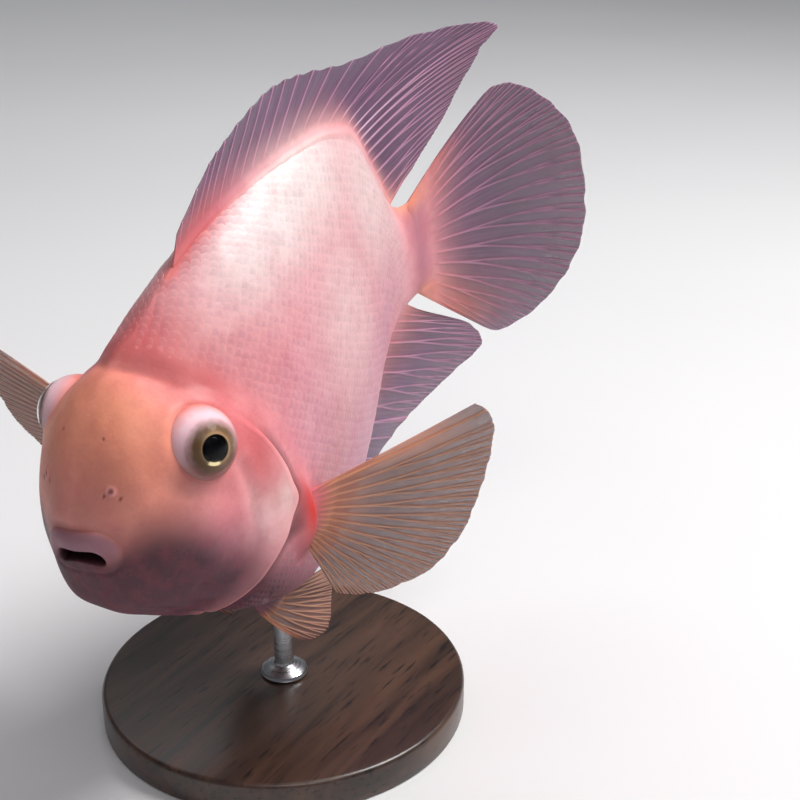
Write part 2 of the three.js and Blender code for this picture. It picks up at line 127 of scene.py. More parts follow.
# How blunt the cross-section is, from square (less than 1) to pointed (more), at the back and on the flanks
RIDGE = {"at_lips": 0.85, "at_nape": 1.4, "start": 0.05, "end": 0.2}
FLANK = {"at_lips": 0.55, "at_nape": 0.8}
LOW_CHEEKS = 0.14  # how much wider it is below the middle than at it

# The gill opening: [turn from the back's ridge (0) to the middle of the belly (1), share of the length]
GILL_EDGE = curve_through([[0, 0.15], [0.07, 0.158], [0.17, 0.184], [0.234, 0.205], [0.295, 0.23],
                           [0.35, 0.252], [0.405, 0.276], [0.455, 0.288], [0.505, 0.295], [0.535, 0.297],
                           [0.565, 0.281], [0.605, 0.262], [0.64, 0.24], [0.69, 0.216], [0.75, 0.19],
                           [0.82, 0.165], [0.91, 0.142], [1, 0.13]])
# How far the gill cover's rim stands out, the turns over which that comes in and fades, and the share of the
# length over which the cover rises to it
FLARE = {"most": 1.7 * MM, "comes": (0.3, 0.45), "fades": (0.97, 0.62), "reach": 0.09}

# The bent middle line in small steps
SPINE_STEP = 0.005
SPINE = np.arange(0, 1.7, SPINE_STEP)
HEADING = SWING["angle"] * np.maximum((SPINE - SWING["start"]) / SWING["reach"], 0) ** SWING["rise"]
SPINE_BACK = np.concatenate([[0], np.cumsum(SPINE_STEP * np.cos(HEADING[1:]))])
SPINE_LEFT = np.concatenate([[0], np.cumsum(SPINE_STEP * np.sin(HEADING[1:]))])


def pose(share, left, up):
    """Takes points of the straight fish (share back from the lips, metres left and up) to the bent one."""
    share, left, up = np.broadcast_arrays(np.asarray(share, float), left, up)
    angle = np.interp(share, SPINE, HEADING)
    back = np.interp(share, SPINE, SPINE_BACK) + np.minimum(share, 0)
    across = np.interp(share, SPINE, SPINE_LEFT)
    x = back * LENGTH - left * np.sin(angle)
    return np.stack([x, -(across * LENGTH + left * np.cos(angle)), up], -1)


def turn_of(about):
    """How far round from the back's ridge (0) to the belly (1), on either side."""
    return 1 - np.abs(1 - 2 * (about % 1))


def flare(share, turn):
    """How far the gill cover stands off the flank."""
    edge = GILL_EDGE(turn)
    rise = smooth(*FLARE["comes"], turn) * smooth(*FLARE["fades"], turn)
    return FLARE["most"] * rise * smooth(edge - FLARE["reach"], edge, share)


def bare_skin(share, about):
    """Points of the smooth body. About runs once round it from the back's ridge, the left side first."""
    about = about % 1
    turn = turn_of(about)
    top, bottom = BACK(share), BELLY(share)
    c = np.cos(turn * np.pi)
    behind = smooth(RIDGE["start"], RIDGE["end"], share)
    ridge = mix(RIDGE["at_lips"], RIDGE["at_nape"], behind)
    flank = mix(FLANK["at_lips"], FLANK["at_nape"], behind)
    across = np.maximum(np.sin(turn * np.pi), 0) ** mix(flank, ridge, (1 + c) / 2)
    wide = HALF_WIDTH(share) * (1 - LOW_CHEEKS * c)
    left = wide * across * np.where(about > 0.5, -1, 1)
    return pose(share, left, (top + bottom) / 2 + (top - bottom) / 2 * c)


def unit(vectors):
    """The same directions with a length of 1."""
    return vectors / np.maximum(np.linalg.norm(vectors, axis=-1, keepdims=True), 1e-12)


def skin_normal(share, about):
    """The outward direction of the smooth body."""
    step = 0.004
    along = bare_skin(share + step, about) - bare_skin(np.maximum(share - step, 0), about)
    round_it = bare_skin(share, about + step) - bare_skin(share, about - step)
    return unit(np.cross(round_it, along))


# Takes the fish's own frame to its place over the stand
TILT = Matrix.Rotation(-PITCH, 4, "Y")
ROD_MOUTH = TILT @ Vector(bare_skin(np.array(ROD_SHARE), np.array(0.5)))
PLACE = Matrix.Translation((-ROD_MOUTH.x, 0, BELLY_HEIGHT - ROD_MOUTH.z)) @ TILT


def placed(points):
    """Takes points from the fish's own frame to the frame of the stand."""
    place = np.array(PLACE)
    return points @ place[:3, :3].T + place[:3, 3]


# Eyes, nostrils and mouth
EYE = {"share": 0.177, "up": 0.07, "left": 0.119, "radius": 8.8 * MM}
EYE_RIM = {"rise": 1.1 * MM, "width": 2.8 * MM}
GAZE = (-0.315, 0.906, 0.282)  # back, left, up
IRIS_EDGE = 5.6 * MM  # these three are radii
PUPIL = 3.0 * MM
CORNEA_FOOT = 6.3 * MM
IRIS_BULGE = 1.5 * MM
CORNEA_RISE = 0.45 * MM  # of its middle over the eyeball
NOSTRIL = {"share": 0.043, "turn": 0.205, "ring": 0.9 * MM, "width": 0.45 * MM, "rise": 0.32 * MM,
           "pit": 1.0 * MM}
# The mouth, round its opening from the middle of the upper edge to the middle of the lower: [left, up]
# shares, then half the lip's thickness and how far it stands out, in mm
MOUTH = [[0, -0.0345, 2.2, 1.5], [0.018, -0.034, 2.2, 1.4], [0.032, -0.0355, 2.1, 1.2],
         [0.0415, -0.043, 1.8, 1.0], [0.0445, -0.053, 1.3, 0.7], [0.041, -0.0605, 1.0, 0.3],
         [0.033, -0.0615, 1.0, 0.3], [0.02, -0.0585, 1.2, 0.3], [0, -0.0565, 1.3, 0.3]]
MOUTH_CENTRE = -0.045  # share up
MOUTH_SHIFT = 1.2 * MM  # it sits a little to the fish's left, and rolled
MOUTH_TURN = math.radians(7)
MOUTH_REACH = 14 * MM  # how far round it the face is shaped with it
GULLET = 2.6 * MM  # how deep the opening is sunk
LIP_CREASE = 0.25 * MM  # the fold round the lips


def eye_centre(side):
    return pose(EYE["share"], side * EYE["left"] * LENGTH, EYE["up"] * LENGTH)


def gaze(side):
    """The direction in which the middle of the pupil looks."""
    back, left, up = GAZE
    return unit(np.array([back, -side * left, up]))


def mouth_outline(steps=400):
    """The edge of the mouth's opening: left, up, half the lip's thickness there and its rise."""
    half = np.array(MOUTH) * [LENGTH, LENGTH, MM, MM]
    other = half[-2::-1] * [-1, 1, 1, 1]
    outline = line_through(np.concatenate([half, other]))(np.linspace(0, 1, steps))
    left, up = outline[:, 0].copy(), outline[:, 1] - MOUTH_CENTRE * LENGTH
    outline[:, 0] = left * math.cos(MOUTH_TURN) - up * math.sin(MOUTH_TURN) + MOUTH_SHIFT
    outline[:, 1] = left * math.sin(MOUTH_TURN) + up * math.cos(MOUTH_TURN) + MOUTH_CENTRE * LENGTH
    return outline


def from_mouth(seen, centre):
    """How far places seen from the front lie outside the mouth's opening, and the nearest lip's half
    thickness and rise."""
    outline = mouth_outline()
    gap = np.linalg.norm(seen[:, None] - outline[None, :, :2], axis=-1)
    nearest = gap.argmin(1)
    rim, out = outline[:, :2] - centre, seen - centre
    reach = np.interp(np.arctan2(out[:, 1], out[:, 0]), np.arctan2(rim[:, 1], rim[:, 0]),
                      np.hypot(*rim.T), period=2 * np.pi)
    sign = np.where(np.hypot(*out.T) < reach, -1, 1)
    return sign * gap[np.arange(len(seen)), nearest], outline[nearest, 2], outline[nearest, 3]


def mouthed(points):
    """The face's points with lips raised round the sunken mouth, and how much of lip and of the dark mouth
    opening each is; the opening's dark is partly painted shade.
    """
    seen = np.stack([-points[:, 1], points[:, 2]], -1)
    centre = np.array([MOUTH_SHIFT, MOUTH_CENTRE * LENGTH])
    near = (points[:, 0] < MOUTH_REACH) & (np.linalg.norm(seen - centre, axis=1) < MOUTH_REACH)
    gap, thick, rise = from_mouth(seen[near], centre)
    lip = np.sqrt(np.maximum(1 - ((gap - thick) / (1.15 * thick)) ** 2, 0))
    sunk = smooth(0.1 * MM, -1.1 * MM, gap)
    crease = hump(gap - 2.5 * thick, 0.6 * thick)
    points[near, 0] += GULLET * sunk - rise * lip + LIP_CREASE * crease
    values = {"lip": np.zeros(len(points)), "gullet_painted_shade": np.zeros(len(points))}
    values["lip"][near] = smooth(0, 0.75, lip) * smooth(0.45 * MM, 1.2 * MM, rise)
    # The opening is painted near black: partly the dark inside of the mouth and partly painted shade
    values["gullet_painted_shade"][near] = smooth(0.6 * MM, -0.6 * MM, gap)
    return points, values


HALF_GIRTH = 1.15  # the way from the back's ridge to the belly, for each unit of the body's height


def surface_steps(share, about, place_share, place_turn):
    """How far, in metres along the body and down it, points lie from a place on their own flank."""
    girth = (BACK(share) - BELLY(share)) * HALF_GIRTH
    return (share - place_share) * LENGTH, (turn_of(about) - place_turn) * girth


def distance_to(share, about, place_share, place_turn):
    return np.hypot(*surface_steps(share, about, place_share, place_turn))


# Swellings and hollows of the flesh: [share, turn, length and height of the place in mm, rise in mm]
FORMS = {
    "cheek": [0.13, 0.5, 12, 15, 0.7],
    "under_eye": [0.16, 0.47, 6, 4, -0.3],
    "behind_eye": [0.245, 0.36, 6, 5, 0.4],
    "brow": [0.13, 0.33, 8, 5, 0.2],
    "forehead": [0.1, 0, 14, 14, 0.5],
    "snout": [0.05, 0.12, 6, 7, 0.3],
    "throat": [0.1, 1, 12, 8, 0.5],
    "breast": [0.36, 0.86, 16, 12, 0.6],
}
# The fleshy lobe that the pectoral fin grows from
LOBE = {"share": 0.319, "turn": 0.6, "long": 4.2 * MM, "high": 8.4 * MM, "rise": 3.0 * MM}
UNEVEN = {"size": 9 * MM, "rise": 0.22 * MM}
# Grooves that run over the head: points [share, turn], then width and depth in mm
GROOVES = [
    ([[0.212, 0.425], [0.214, 0.5], [0.205, 0.58], [0.18, 0.66], [0.14, 0.71], [0.1, 0.7]], 1.6, 0.32),
    ([[0.165, 0.54], [0.14, 0.56], [0.11, 0.57], [0.08, 0.56]], 1.8, 0.2),
    ([[0.05, 0.8], [0.08, 0.84], [0.12, 0.86], [0.16, 0.88]], 1.2, 0.4),
]


def lumps(points):
    """The soft unevenness of flesh, from about -1 to 1."""
    scaled = (points / UNEVEN["size"]).reshape(-1, 3).tolist()
    return np.array([noise.fractal(Vector(p), 0.7, 2.1, 2) for p in scaled]).reshape(points.shape[:-1])


def forms_lift(share, about):
    """The rise of the flesh forms over the smooth body."""
    rise = np.zeros(np.shape(share))
    for place_share, place_turn, long, high, height in FORMS.values():
        along, down = surface_steps(share, about, place_share, place_turn)
        rise = rise + height * MM * hump(along, long * MM) * hump(down, high * MM)
    return rise + LOBE["rise"] * on_lobe(share, about)


def on_lobe(share, about):
    """1 on the pectoral fin's fleshy lobe and 0 off it, with a rounded edge."""
    along, down = surface_steps(share, about, LOBE["share"], LOBE["turn"])
    return np.exp(-(((along / LOBE["long"]) ** 2 + (down / LOBE["high"]) ** 2) ** 1.6))


def groove_lift(share, about):
    """The grooves over the head, each with a low bank on either side."""
    rise = np.zeros(np.shape(share))
    for points, width, depth in GROOVES:
        nearest = np.full(np.shape(share), np.inf)
        for place in line_through(points)(np.linspace(0, 1, 40)):
            nearest = np.minimum(nearest, distance_to(share, about, *place))
        rise = rise - depth * MM * hump(nearest, width * MM)
        rise = rise + 0.4 * depth * MM * hump(nearest - 1.9 * width * MM, width * MM)
    return rise


# The crease between head and back, and the back's flesh that bulges over it from behind
NAPE = {"crease": 0.35 * MM, "crease_width": 1.8 * MM,
        "bulge": 0.4 * MM, "bulge_width": 3.8 * MM, "bulge_behind": 5 * MM}


def behind_gill(share, turn):
    """How far back from the gill opening, or from the crease above it, in metres."""
    return (share - GILL_EDGE(turn)) * LENGTH


def nape_fold(share, about):
    """The rise of the nape's crease and bulge, on the upper part of the body alone."""
    turn = turn_of(about)
    behind = behind_gill(share, turn)
    bulge = NAPE["bulge"] * hump(behind - NAPE["bulge_behind"], NAPE["bulge_width"])
    crease = NAPE["crease"] * hump(behind, NAPE["crease_width"])
    return smooth(0.34, 0.14, turn) * smooth(0.0, 0.08, turn) * (bulge - crease)


COAT_DEPTH = 0.28 * MM


def coat_depth(share, turn):
    """How far the skin lies under the solids, where scales cover it."""
    return COAT_DEPTH * smooth(0, 0.02, share - GILL_EDGE(turn)) * smooth(1.01, 0.97, share)


def flesh_rise(share, about, ground):
    """The rise of the flesh over the smooth body, but without the gill cover's flare."""
    rise = forms_lift(share, about) + groove_lift(share, about) + nape_fold(share, about)
    uneven = UNEVEN["rise"] * lumps(ground) * smooth(0.02, 0.1, share)
    return rise - coat_depth(share, turn_of(about)) + uneven


def fold_depth(turn):
    """How far the gill opening's fold is open, least at the nape and the throat."""
    return smooth(0.36, 0.5, turn) * smooth(1, 0.86, turn)


def body_surface(share, about):
    """The flesh behind the gill opening, and its outward direction."""
    normal = skin_normal(share, about)
    ground = bare_skin(share, about)
    turn = turn_of(about)
    dip = 0.25 * MM * fold_depth(turn) * smooth(2.6 * MM, 0.7 * MM, behind_gill(share, turn))
    points = ground + normal * (flesh_rise(share, about, ground) - dip)[..., None]
    return points + normal * eye_rim(points)[..., None], normal


# Rings of the skin: over the head, round the rim of the gill cover and into its cleft, and over the body
AROUND = 480
RINGS = {"head": 200, "fold": 34, "body": 170}
HEAD_CROWD = 2.5  # how much closer the rings are at the lips
SKIN_END = 1.045
SCALES_END = 0.955  # the stalk thins from here on
# Through the fold: mm back from the gill edge, share of the cover's height, mm of dip, how strong the
# painted highlight on the rim is and how deep the painted shade under it
FOLD = [[-1.7, 1, 0, 0.4, 0], [-0.8, 1, 0, 0.8, 0], [-0.2, 0.94, 0, 1, 0], [0.12, 0.74, 0, 0.9, 0.05],
        [0.05, 0.45, 0, 0.5, 0.5], [-0.4, 0.2, 0, 0.1, 1], [-1.1, 0.02, -0.3, 0, 1],
        [-1.5, 0, -0.6, 0, 1], [-1.2, 0, -0.7, 0, 1], [-0.3, 0, -0.5, 0, 1], [0.7, 0, -0.25, 0, 0.9],
        [1.7, 0, -0.08, 0, 0.6], [2.6, 0, 0, 0, 0.3]]
FOLD_START, FOLD_END = FOLD[0][0] * MM, FOLD[-1][0] * MM


def skin_rings():
    """Every ring of the skin, front to back: its share and about, its lift, and its painted rim highlight
    and painted shade.
    """
    about = np.arange(AROUND) / AROUND
    turn = turn_of(about)
    edge = GILL_EDGE(turn)
    depth = fold_depth(turn)
    none = np.zeros(AROUND)
    cavity = 0.9 * hump(turn - 0.63, 0.08)  # the shade in front of the pectoral fin's lobe
    rings = []
    for k in range(1, RINGS["head"] + 1):
        share = (edge + FOLD_START / LENGTH) * (k / RINGS["head"]) ** HEAD_CROWD
        # The rim's painted highlight comes in over the cover's last 9 mm
        rim = FOLD[0][3] * depth * smooth(-9 * MM, FOLD_START, behind_gill(share, turn))
        rings.append((share, about, flare(share, turn), rim, none))
    steps = np.linspace(0, 1, len(FOLD))
    along_at, level_at, dip_at, rim_at, shade_at = (
        curve_through(list(zip(steps, sizes))) for sizes in zip(*FOLD))
    for k in range(1, RINGS["fold"] + 1):
        t = k / RINGS["fold"]
        along = mix(mix(FOLD_START, FOLD_END, t), along_at(t) * MM, depth)
        lift = flare(edge, turn) * level_at(t) + depth * dip_at(t) * MM
        shade = np.maximum(depth * shade_at(t), t**3 * cavity)
        rings.append((edge + along / LENGTH, about, lift, depth * rim_at(t), shade))
    for k in range(1, RINGS["body"] + 1):
        share = mix(edge + FOLD_END / LENGTH, SKIN_END, k / RINGS["body"])
        shade = cavity * smooth(7 * MM, 2.5 * MM, behind_gill(share, turn))
        rings.append((share, about, none, none, shade))
    return np.array(rings).transpose(1, 0, 2)


def eye_rim(points):
    """The raised flesh round each eyeball."""
    rise = np.zeros(points.shape[:-1])
    for side in SIDE_NAMES:
        out = points - eye_centre(side)
        gap = np.maximum(np.linalg.norm(out, axis=-1) - EYE["radius"], 0)
        rise += EYE_RIM["rise"] * hump(gap, EYE_RIM["width"])
    return rise


# Sense pores: [share, turn, half width in mm]
PORES_AT = [[0.036, 0.19, 0.26], [0.045, 0.255, 0.3], [0.07, 0.6, 0.24], [0.075, 0.09, 0.22]]


def nostril_lift(points):
    """The raised ring and the pit of each nostril, and where the ring is."""
    rise, ring = np.zeros(len(points)), np.zeros(len(points))
    for side in SIDE_NAMES:
        turn = NOSTRIL["turn"] / 2
        at = bare_skin(np.array(NOSTRIL["share"]), np.array(turn if side == LEFT else 1 - turn))
        gap = np.linalg.norm(points - at, axis=1)
        on_ring = hump(gap - NOSTRIL["ring"], NOSTRIL["width"])
        ring += on_ring
        rise += NOSTRIL["rise"] * on_ring - NOSTRIL["pit"] * hump(gap, 0.5 * NOSTRIL["ring"])
    return rise, ring


def pore_pits(share, about):
    """How deep in a sense pore each point is, and how much painted shade it gets in them and in the
    nostrils.
    """
    pit = np.zeros(np.shape(share))
    for *place, size in PORES_AT:
        pit = np.maximum(pit, hump(distance_to(share, about, *place), size * MM))
    nostril = hump(distance_to(share, about, NOSTRIL["share"], NOSTRIL["turn"]), 0.6 * NOSTRIL["ring"])
    return pit, np.maximum(pit, nostril)


def tail_taper(points, share):
    """Thins the end of the tail stalk to a wedge between the rays of the tail fin."""
    middle = pose(share, 0, 0)
    middle[..., 2] = points[..., 2]
    kept = mix(1, 0.04, smooth(SCALES_END, SKIN_END, share))[..., None]
    return middle + (points - middle) * kept


# Markings: how strongly each colour lies at places on the fish, [share, turn, length, height, strength],
# in mm, on both sides
MARKINGS = {
    "orange": [[0.1, 0.12, 17, 24, 1.0], [0.13, 0.26, 11, 9, 0.9], [0.04, 0.1, 10, 14, 0.7],
               [0.34, 0.02, 12, 3, 0.5], [0.98, 0.05, 8, 5, 0.9], [1.0, 0.95, 8, 5, 0.7]],
    "blush": [[0.25, 0.42, 6, 10, 0.8], [0.21, 0.1, 9, 20, 0.8], [0.24, 0.27, 6, 9, 0.7],
              [0.4, 0.03, 18, 6, 0.8], [0.19, 0.46, 6, 9, 0.4], [0.3, 0.3, 14, 12, 0.3]],
    # The pale marks are partly the fish's own paler back and flank and partly a painted highlight: the broad
    # patch on the upper flank and the spots at the gill cover's tip
    "pale": [[0.54, 0.17, 24, 14, 1.0], [0.62, 0.14, 24, 18, 1.0], [0.8, 0.3, 18, 20, 0.7],
             [0.43, 0.18, 17, 12, 0.85], [0.6, 0.4, 20, 16, 0.45], [0.275, 0.52, 4, 5, 0.9],
             [0.25, 0.52, 8, 8, 0.6]],
    "lilac": [[0.55, 0.68, 30, 18, 0.8], [0.4, 0.85, 24, 16, 0.8], [0.14, 0.54, 13, 9, 0.5],
              [0.4, 0.5, 14, 14, 0.4], [0.75, 0.64, 20, 12, 0.6], [0.45, 0.0, 26, 4, 0.6]],
    "mauve": [[0.99, 0.5, 7, 40, 0.9]],
    # The plum marks are painted shade: on the front of the face, below the mouth, under the eye and under
    # the pectoral fin's lobe
    "plum": [[0.012, 0.18, 13, 10, 0.42], [0.0, 0.62, 10, 14, 0.9], [0.128, 0.37, 5, 4, 0.5],
             [0.325, 0.665, 5, 5, 0.6]],
    "red": [[LOBE["share"] + 0.003, LOBE["turn"] - 0.02, 4.2, 7.4, 1.0]],
}
# How far round the body the painted plum shade of its underside starts, [share, turn], and over how much
# turn it comes in
PAINTED_SHADE_LINE = curve_through([[0, 0.27], [0.05, 0.262], [0.1, 0.33], [0.14, 0.4], [0.18, 0.445],
                           [0.22, 0.49], [0.27, 0.57], [0.35, 0.7], [0.5, 0.82], [0.9, 0.95]])
PAINTED_SHADE_FADE = 0.26
PAINTED_SHADE_MOST = 0.95


def mark(piece_values, share, about):
    """Adds the strength of each marking at these places to a piece's values."""
    for name, places in MARKINGS.items():
        strength = np.zeros(np.shape(share))
        for place_share, place_turn, long, high, most in places:
            along, down = surface_steps(share, about, place_share, place_turn)
            strength = np.maximum(strength, most * hump(along, long * MM) * hump(down, high * MM))
        piece_values[name] = strength
    # Painted shade: plum laid over the underside below its line
    below = smooth(0, PAINTED_SHADE_FADE, turn_of(about) - PAINTED_SHADE_LINE(share))
    piece_values["plum"] = np.maximum(piece_values["plum"], PAINTED_SHADE_MOST * below)
    return piece_values


def quads(rows, columns, closed=False):
    """The quads of a grid of points numbered row by row."""
    row, column = np.meshgrid(np.arange(rows - 1), np.arange(columns - (not closed)), indexing="ij")
    beside = (column + 1) % columns
    corners = [row * columns + column, row * columns + beside,
               (row + 1) * columns + beside, (row + 1) * columns + column]
    return np.stack(corners, -1).reshape(-1, 4)


def in_scene(name, data):
    """A new object of the scene from a mesh, a lamp or a camera."""
    made = bpy.data.objects.new(name, data)
    bpy.context.scene.collection.objects.link(made)
    return made


def make_piece(name, points, faces, material, replaced, values=None, sharp=None):
    """A mesh piece of the fish or its stand, with values for its material at each point."""
    mesh = bpy.data.meshes.new(name)
    mesh.from_pydata(np.asarray(points).tolist(), [], [list(face) for face in faces])
    work = bmesh.new()
    work.from_mesh(mesh)
    bmesh.ops.recalc_face_normals(work, faces=work.faces)
    work.to_mesh(mesh)
    work.free()
    for key, numbers in (values or {}).items():
        mesh.attributes.new(key, "FLOAT", "POINT").data.foreach_set("value", np.ravel(numbers))
    mesh.shade_smooth()
    if sharp:
        mesh.set_sharp_from_angle(angle=math.radians(sharp))
    mesh.materials.append(material)
    piece = in_scene(name, mesh)
    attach(piece, "root")
    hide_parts(*replaced)
    return piece


def bake_map(piece, places):
    """The map that the finish is kept on: one place for each corner of each face."""
    layer = piece.data.uv_layers.new(name="OFBake")
    layer.uv.foreach_set("vector", np.ravel(places))


# Materials


def feed(tree, made, inputs):
    """Gives a node its inputs, each a plain value or another node's output."""
    for key, value in inputs.items():
        if isinstance(value, bpy.types.NodeSocket):
            tree.links.new(value, made.inputs[key])
        else:
            made.inputs[key].default_value = value


def node(tree, kind, inputs, **settings):
    made = tree.nodes.new("ShaderNode" + kind)
    for key, value in settings.items():
        setattr(made, key, value)
    feed(tree, made, inputs)
    return made


def colour(red, green, blue):
    """A colour given as it looks, from 0 to 255."""
    parts = [c / 255 for c in (red, green, blue)]
    return (*[c / 12.92 if c <= 0.04045 else ((c + 0.055) / 1.055) ** 2.4 for c in parts], 1)


def mixed(tree, factor, a, b):
    return node(tree, "Mix", {0: factor, 6: a, 7: b}, data_type="RGBA").outputs[2]


def worked(tree, operation, a, b, clamp=False):
    return node(tree, "Math", {0: a, 1: b}, operation=operation, use_clamp=clamp).outputs[0]


def times(tree, a, b, clamp=False):
    return worked(tree, "MULTIPLY", a, b, clamp)


def value_at(tree, name):
    """One of the values that a piece carries at its points."""
    return node(tree, "Attribute", {}, attribute_name=name, attribute_type="GEOMETRY").outputs["Fac"]


def place_in(tree):
    return node(tree, "TexCoord", {}).outputs["Object"]


def cloudy(tree, where, scale, detail=2.0, **others):
    """Soft noise from 0 to 1."""
    inputs = {"Vector": where, "Scale": scale, "Detail": detail, **others}
    return node(tree, "TexNoise", inputs).outputs["Fac"]


def tinted(tree, ground, tints):
    """A colour with others laid over it: each tint's value at the points, its most and its colour."""
    for name, most, tint in tints:
        ground = mixed(tree, times(tree, value_at(tree, name), most, clamp=True), ground, colour(*tint))
    return ground


def ranged(tree, value, low, high, to_low=0.0, to_high=1.0):
    inputs = {"Value": value, "From Min": low, "From Max": high, "To Min": to_low, "To Max": to_high}
    return node(tree, "MapRange", inputs).outputs["Result"]


def group(name, inputs, output, kind):
    """A new node group with its named inputs and one output, and its inner input and output nodes."""
    tree = bpy.data.node_groups.new(name, "ShaderNodeTree")
    for label, input_kind, value in inputs:
        socket = tree.interface.new_socket(label, in_out="INPUT", socket_type=input_kind)
        socket.default_value = value
    tree.interface.new_socket(output, in_out="OUTPUT", socket_type=kind)
    return tree, tree.nodes.new("NodeGroupInput").outputs, tree.nodes.new("NodeGroupOutput").inputs


def placed_group(tree, made, **inputs):
    """The output of a group placed in a material."""
    holder = tree.nodes.new("ShaderNodeGroup")
    holder.node_tree = made
    feed(tree, holder, inputs)
    return holder.outputs[0]


FLOAT, COLOR = "NodeSocketFloat", "NodeSocketColor"


def mottle_group():
    """Cloudy unevenness of a colour, broad patches with fine specks in them."""
    tree, given, out = group("mottle", [("Color", COLOR, (1, 1, 1, 1)), ("Tone", COLOR, (0, 0, 0, 1)),
                                        ("Scale", FLOAT, 90.0), ("Amount", FLOAT, 0.3)], "Color", COLOR)
    where = place_in(tree)
    broad = cloudy(tree, where, given["Scale"], 4.0, Roughness=0.6)
    fine = cloudy(tree, where, times(tree, given["Scale"], 7.0))
    both = worked(tree, "ADD", ranged(tree, broad, 0.42, 0.68), ranged(tree, fine, 0.5, 0.72, 0, 0.6))
    amount = times(tree, both, given["Amount"], clamp=True)
    tree.links.new(mixed(tree, amount, given["Color"], given["Tone"]), out["Color"])
    return tree


def markings_group(mottle):
    """The fish's colours, laid over a mottled pink ground by the strength of each marking. The plum marking
    is painted shade, and the pale one is partly a painted highlight.
    """
    tree, _, out = group("markings", [], "Color", COLOR)
    ground = placed_group(tree, mottle, Color=colour(246, 164, 170), Tone=colour(230, 124, 138),
                          Scale=60.0, Amount=0.5)
    marked = tinted(tree, ground, [
        ("lilac", 1.0, (206, 132, 162)), ("pale", 1.0, (255, 238, 234)), ("mauve", 1.0, (182, 120, 136)),
        ("orange", 1.0, (255, 164, 132)), ("blush", 1.0, (212, 86, 92)), ("plum", 1.0, (50, 20, 40)),
        ("red", 1.0, (214, 56, 50))])
    specked = placed_group(tree, mottle, Color=marked, Tone=colour(176, 70, 84), Scale=260.0, Amount=0.16)
    tree.links.new(specked, out["Color"])
    return tree


def pores_group():
    """The height of wet skin: shallow dimples and finer grain."""
    tree, given, out = group("skin_pores", [("Scale", FLOAT, 900.0)], "Height", FLOAT)
    where = place_in(tree)
    cells = node(tree, "TexVoronoi", {"Vector": where, "Scale": given["Scale"], "Randomness": 1.0})
    dimples = ranged(tree, cells.outputs["Distance"], 0.0, 0.5)
    grain = cloudy(tree, where, given["Scale"], 3.0)
    tree.links.new(worked(tree, "ADD", times(tree, dimples, 0.5), grain), out["Height"])
    return tree


def principled(material, inputs):
    """The material with the inputs of its one shader set or linked."""
    feed(material.node_tree, material.node_tree.nodes["Principled BSDF"], inputs)
    return material


def new_material(name):
    material = bpy.data.materials.new(name)
    material.use_nodes = True
    return material, material.node_tree


MOTTLE = mottle_group()
MARKED = markings_group(MOTTLE)
PORES = pores_group()
FLESH_DEPTH = {"Subsurface Weight": 0.18, "Subsurface Radius": (1.0, 0.4, 0.3),
               "Subsurface Scale": 0.0022}


def bump(tree, height, strength, distance):
    inputs = {"Height": height, "Strength": strength, "Distance": distance}
    return node(tree, "Bump", inputs).outputs["Normal"]


def skin_material():
    """Wet, pored skin, with a painted highlight on the gill cover's rim, painted shade in the gill's cleft,
    the pores and the nostrils, the lips' own colour and the mouth's dark opening, partly painted shade.
    """
    material, tree = new_material("wet_skin")
    height = placed_group(tree, PORES, Scale=800.0)
    return principled(material, {
        "Base Color": tinted(tree, placed_group(tree, MARKED), [
            # rim is a painted highlight; shade and pore are painted shade; gullet is the mouth's dark inside
            # with painted shade; lip is the lips' own colour
            ("rim", 0.55, (255, 176, 178)), ("shade", 0.9, (88, 28, 44)), ("pore", 0.75, (104, 36, 40)),
            ("lip", 0.85, (150, 108, 122)), ("gullet_painted_shade", 1.0, (40, 14, 20))]),
        "Roughness": ranged(tree, height, 0.3, 1.2, 0.4, 0.56),
        "Normal": bump(tree, height, 0.25, 0.12 * MM),
        "Specular IOR Level": 0.3, "Coat Weight": 0.08, "Coat Roughness": 0.25, **FLESH_DEPTH})


def scale_material():
    """Like the skin under it, with painted shade at each scale's root, a dusky spot on each scale and a
    painted highlight along its free edge.
    """
    material, tree = new_material("scales")
    height = placed_group(tree, PORES, Scale=1300.0)
    return principled(material, {
        "Base Color": tinted(tree, placed_group(tree, MARKED), [
            ("root_shade", 0.16, (186, 104, 128)), ("spot", 0.42, (168, 112, 132)),
            ("edge_light", 0.14, (255, 216, 212))]),
        "Roughness": ranged(tree, value_at(tree, "edge_light"), 0.0, 1.0, 0.47, 0.4),
        "Normal": bump(tree, height, 0.2, 0.08 * MM),
        "Specular IOR Level": 0.4, "Coat Weight": 0.22, "Coat Roughness": 0.26, **FLESH_DEPTH})


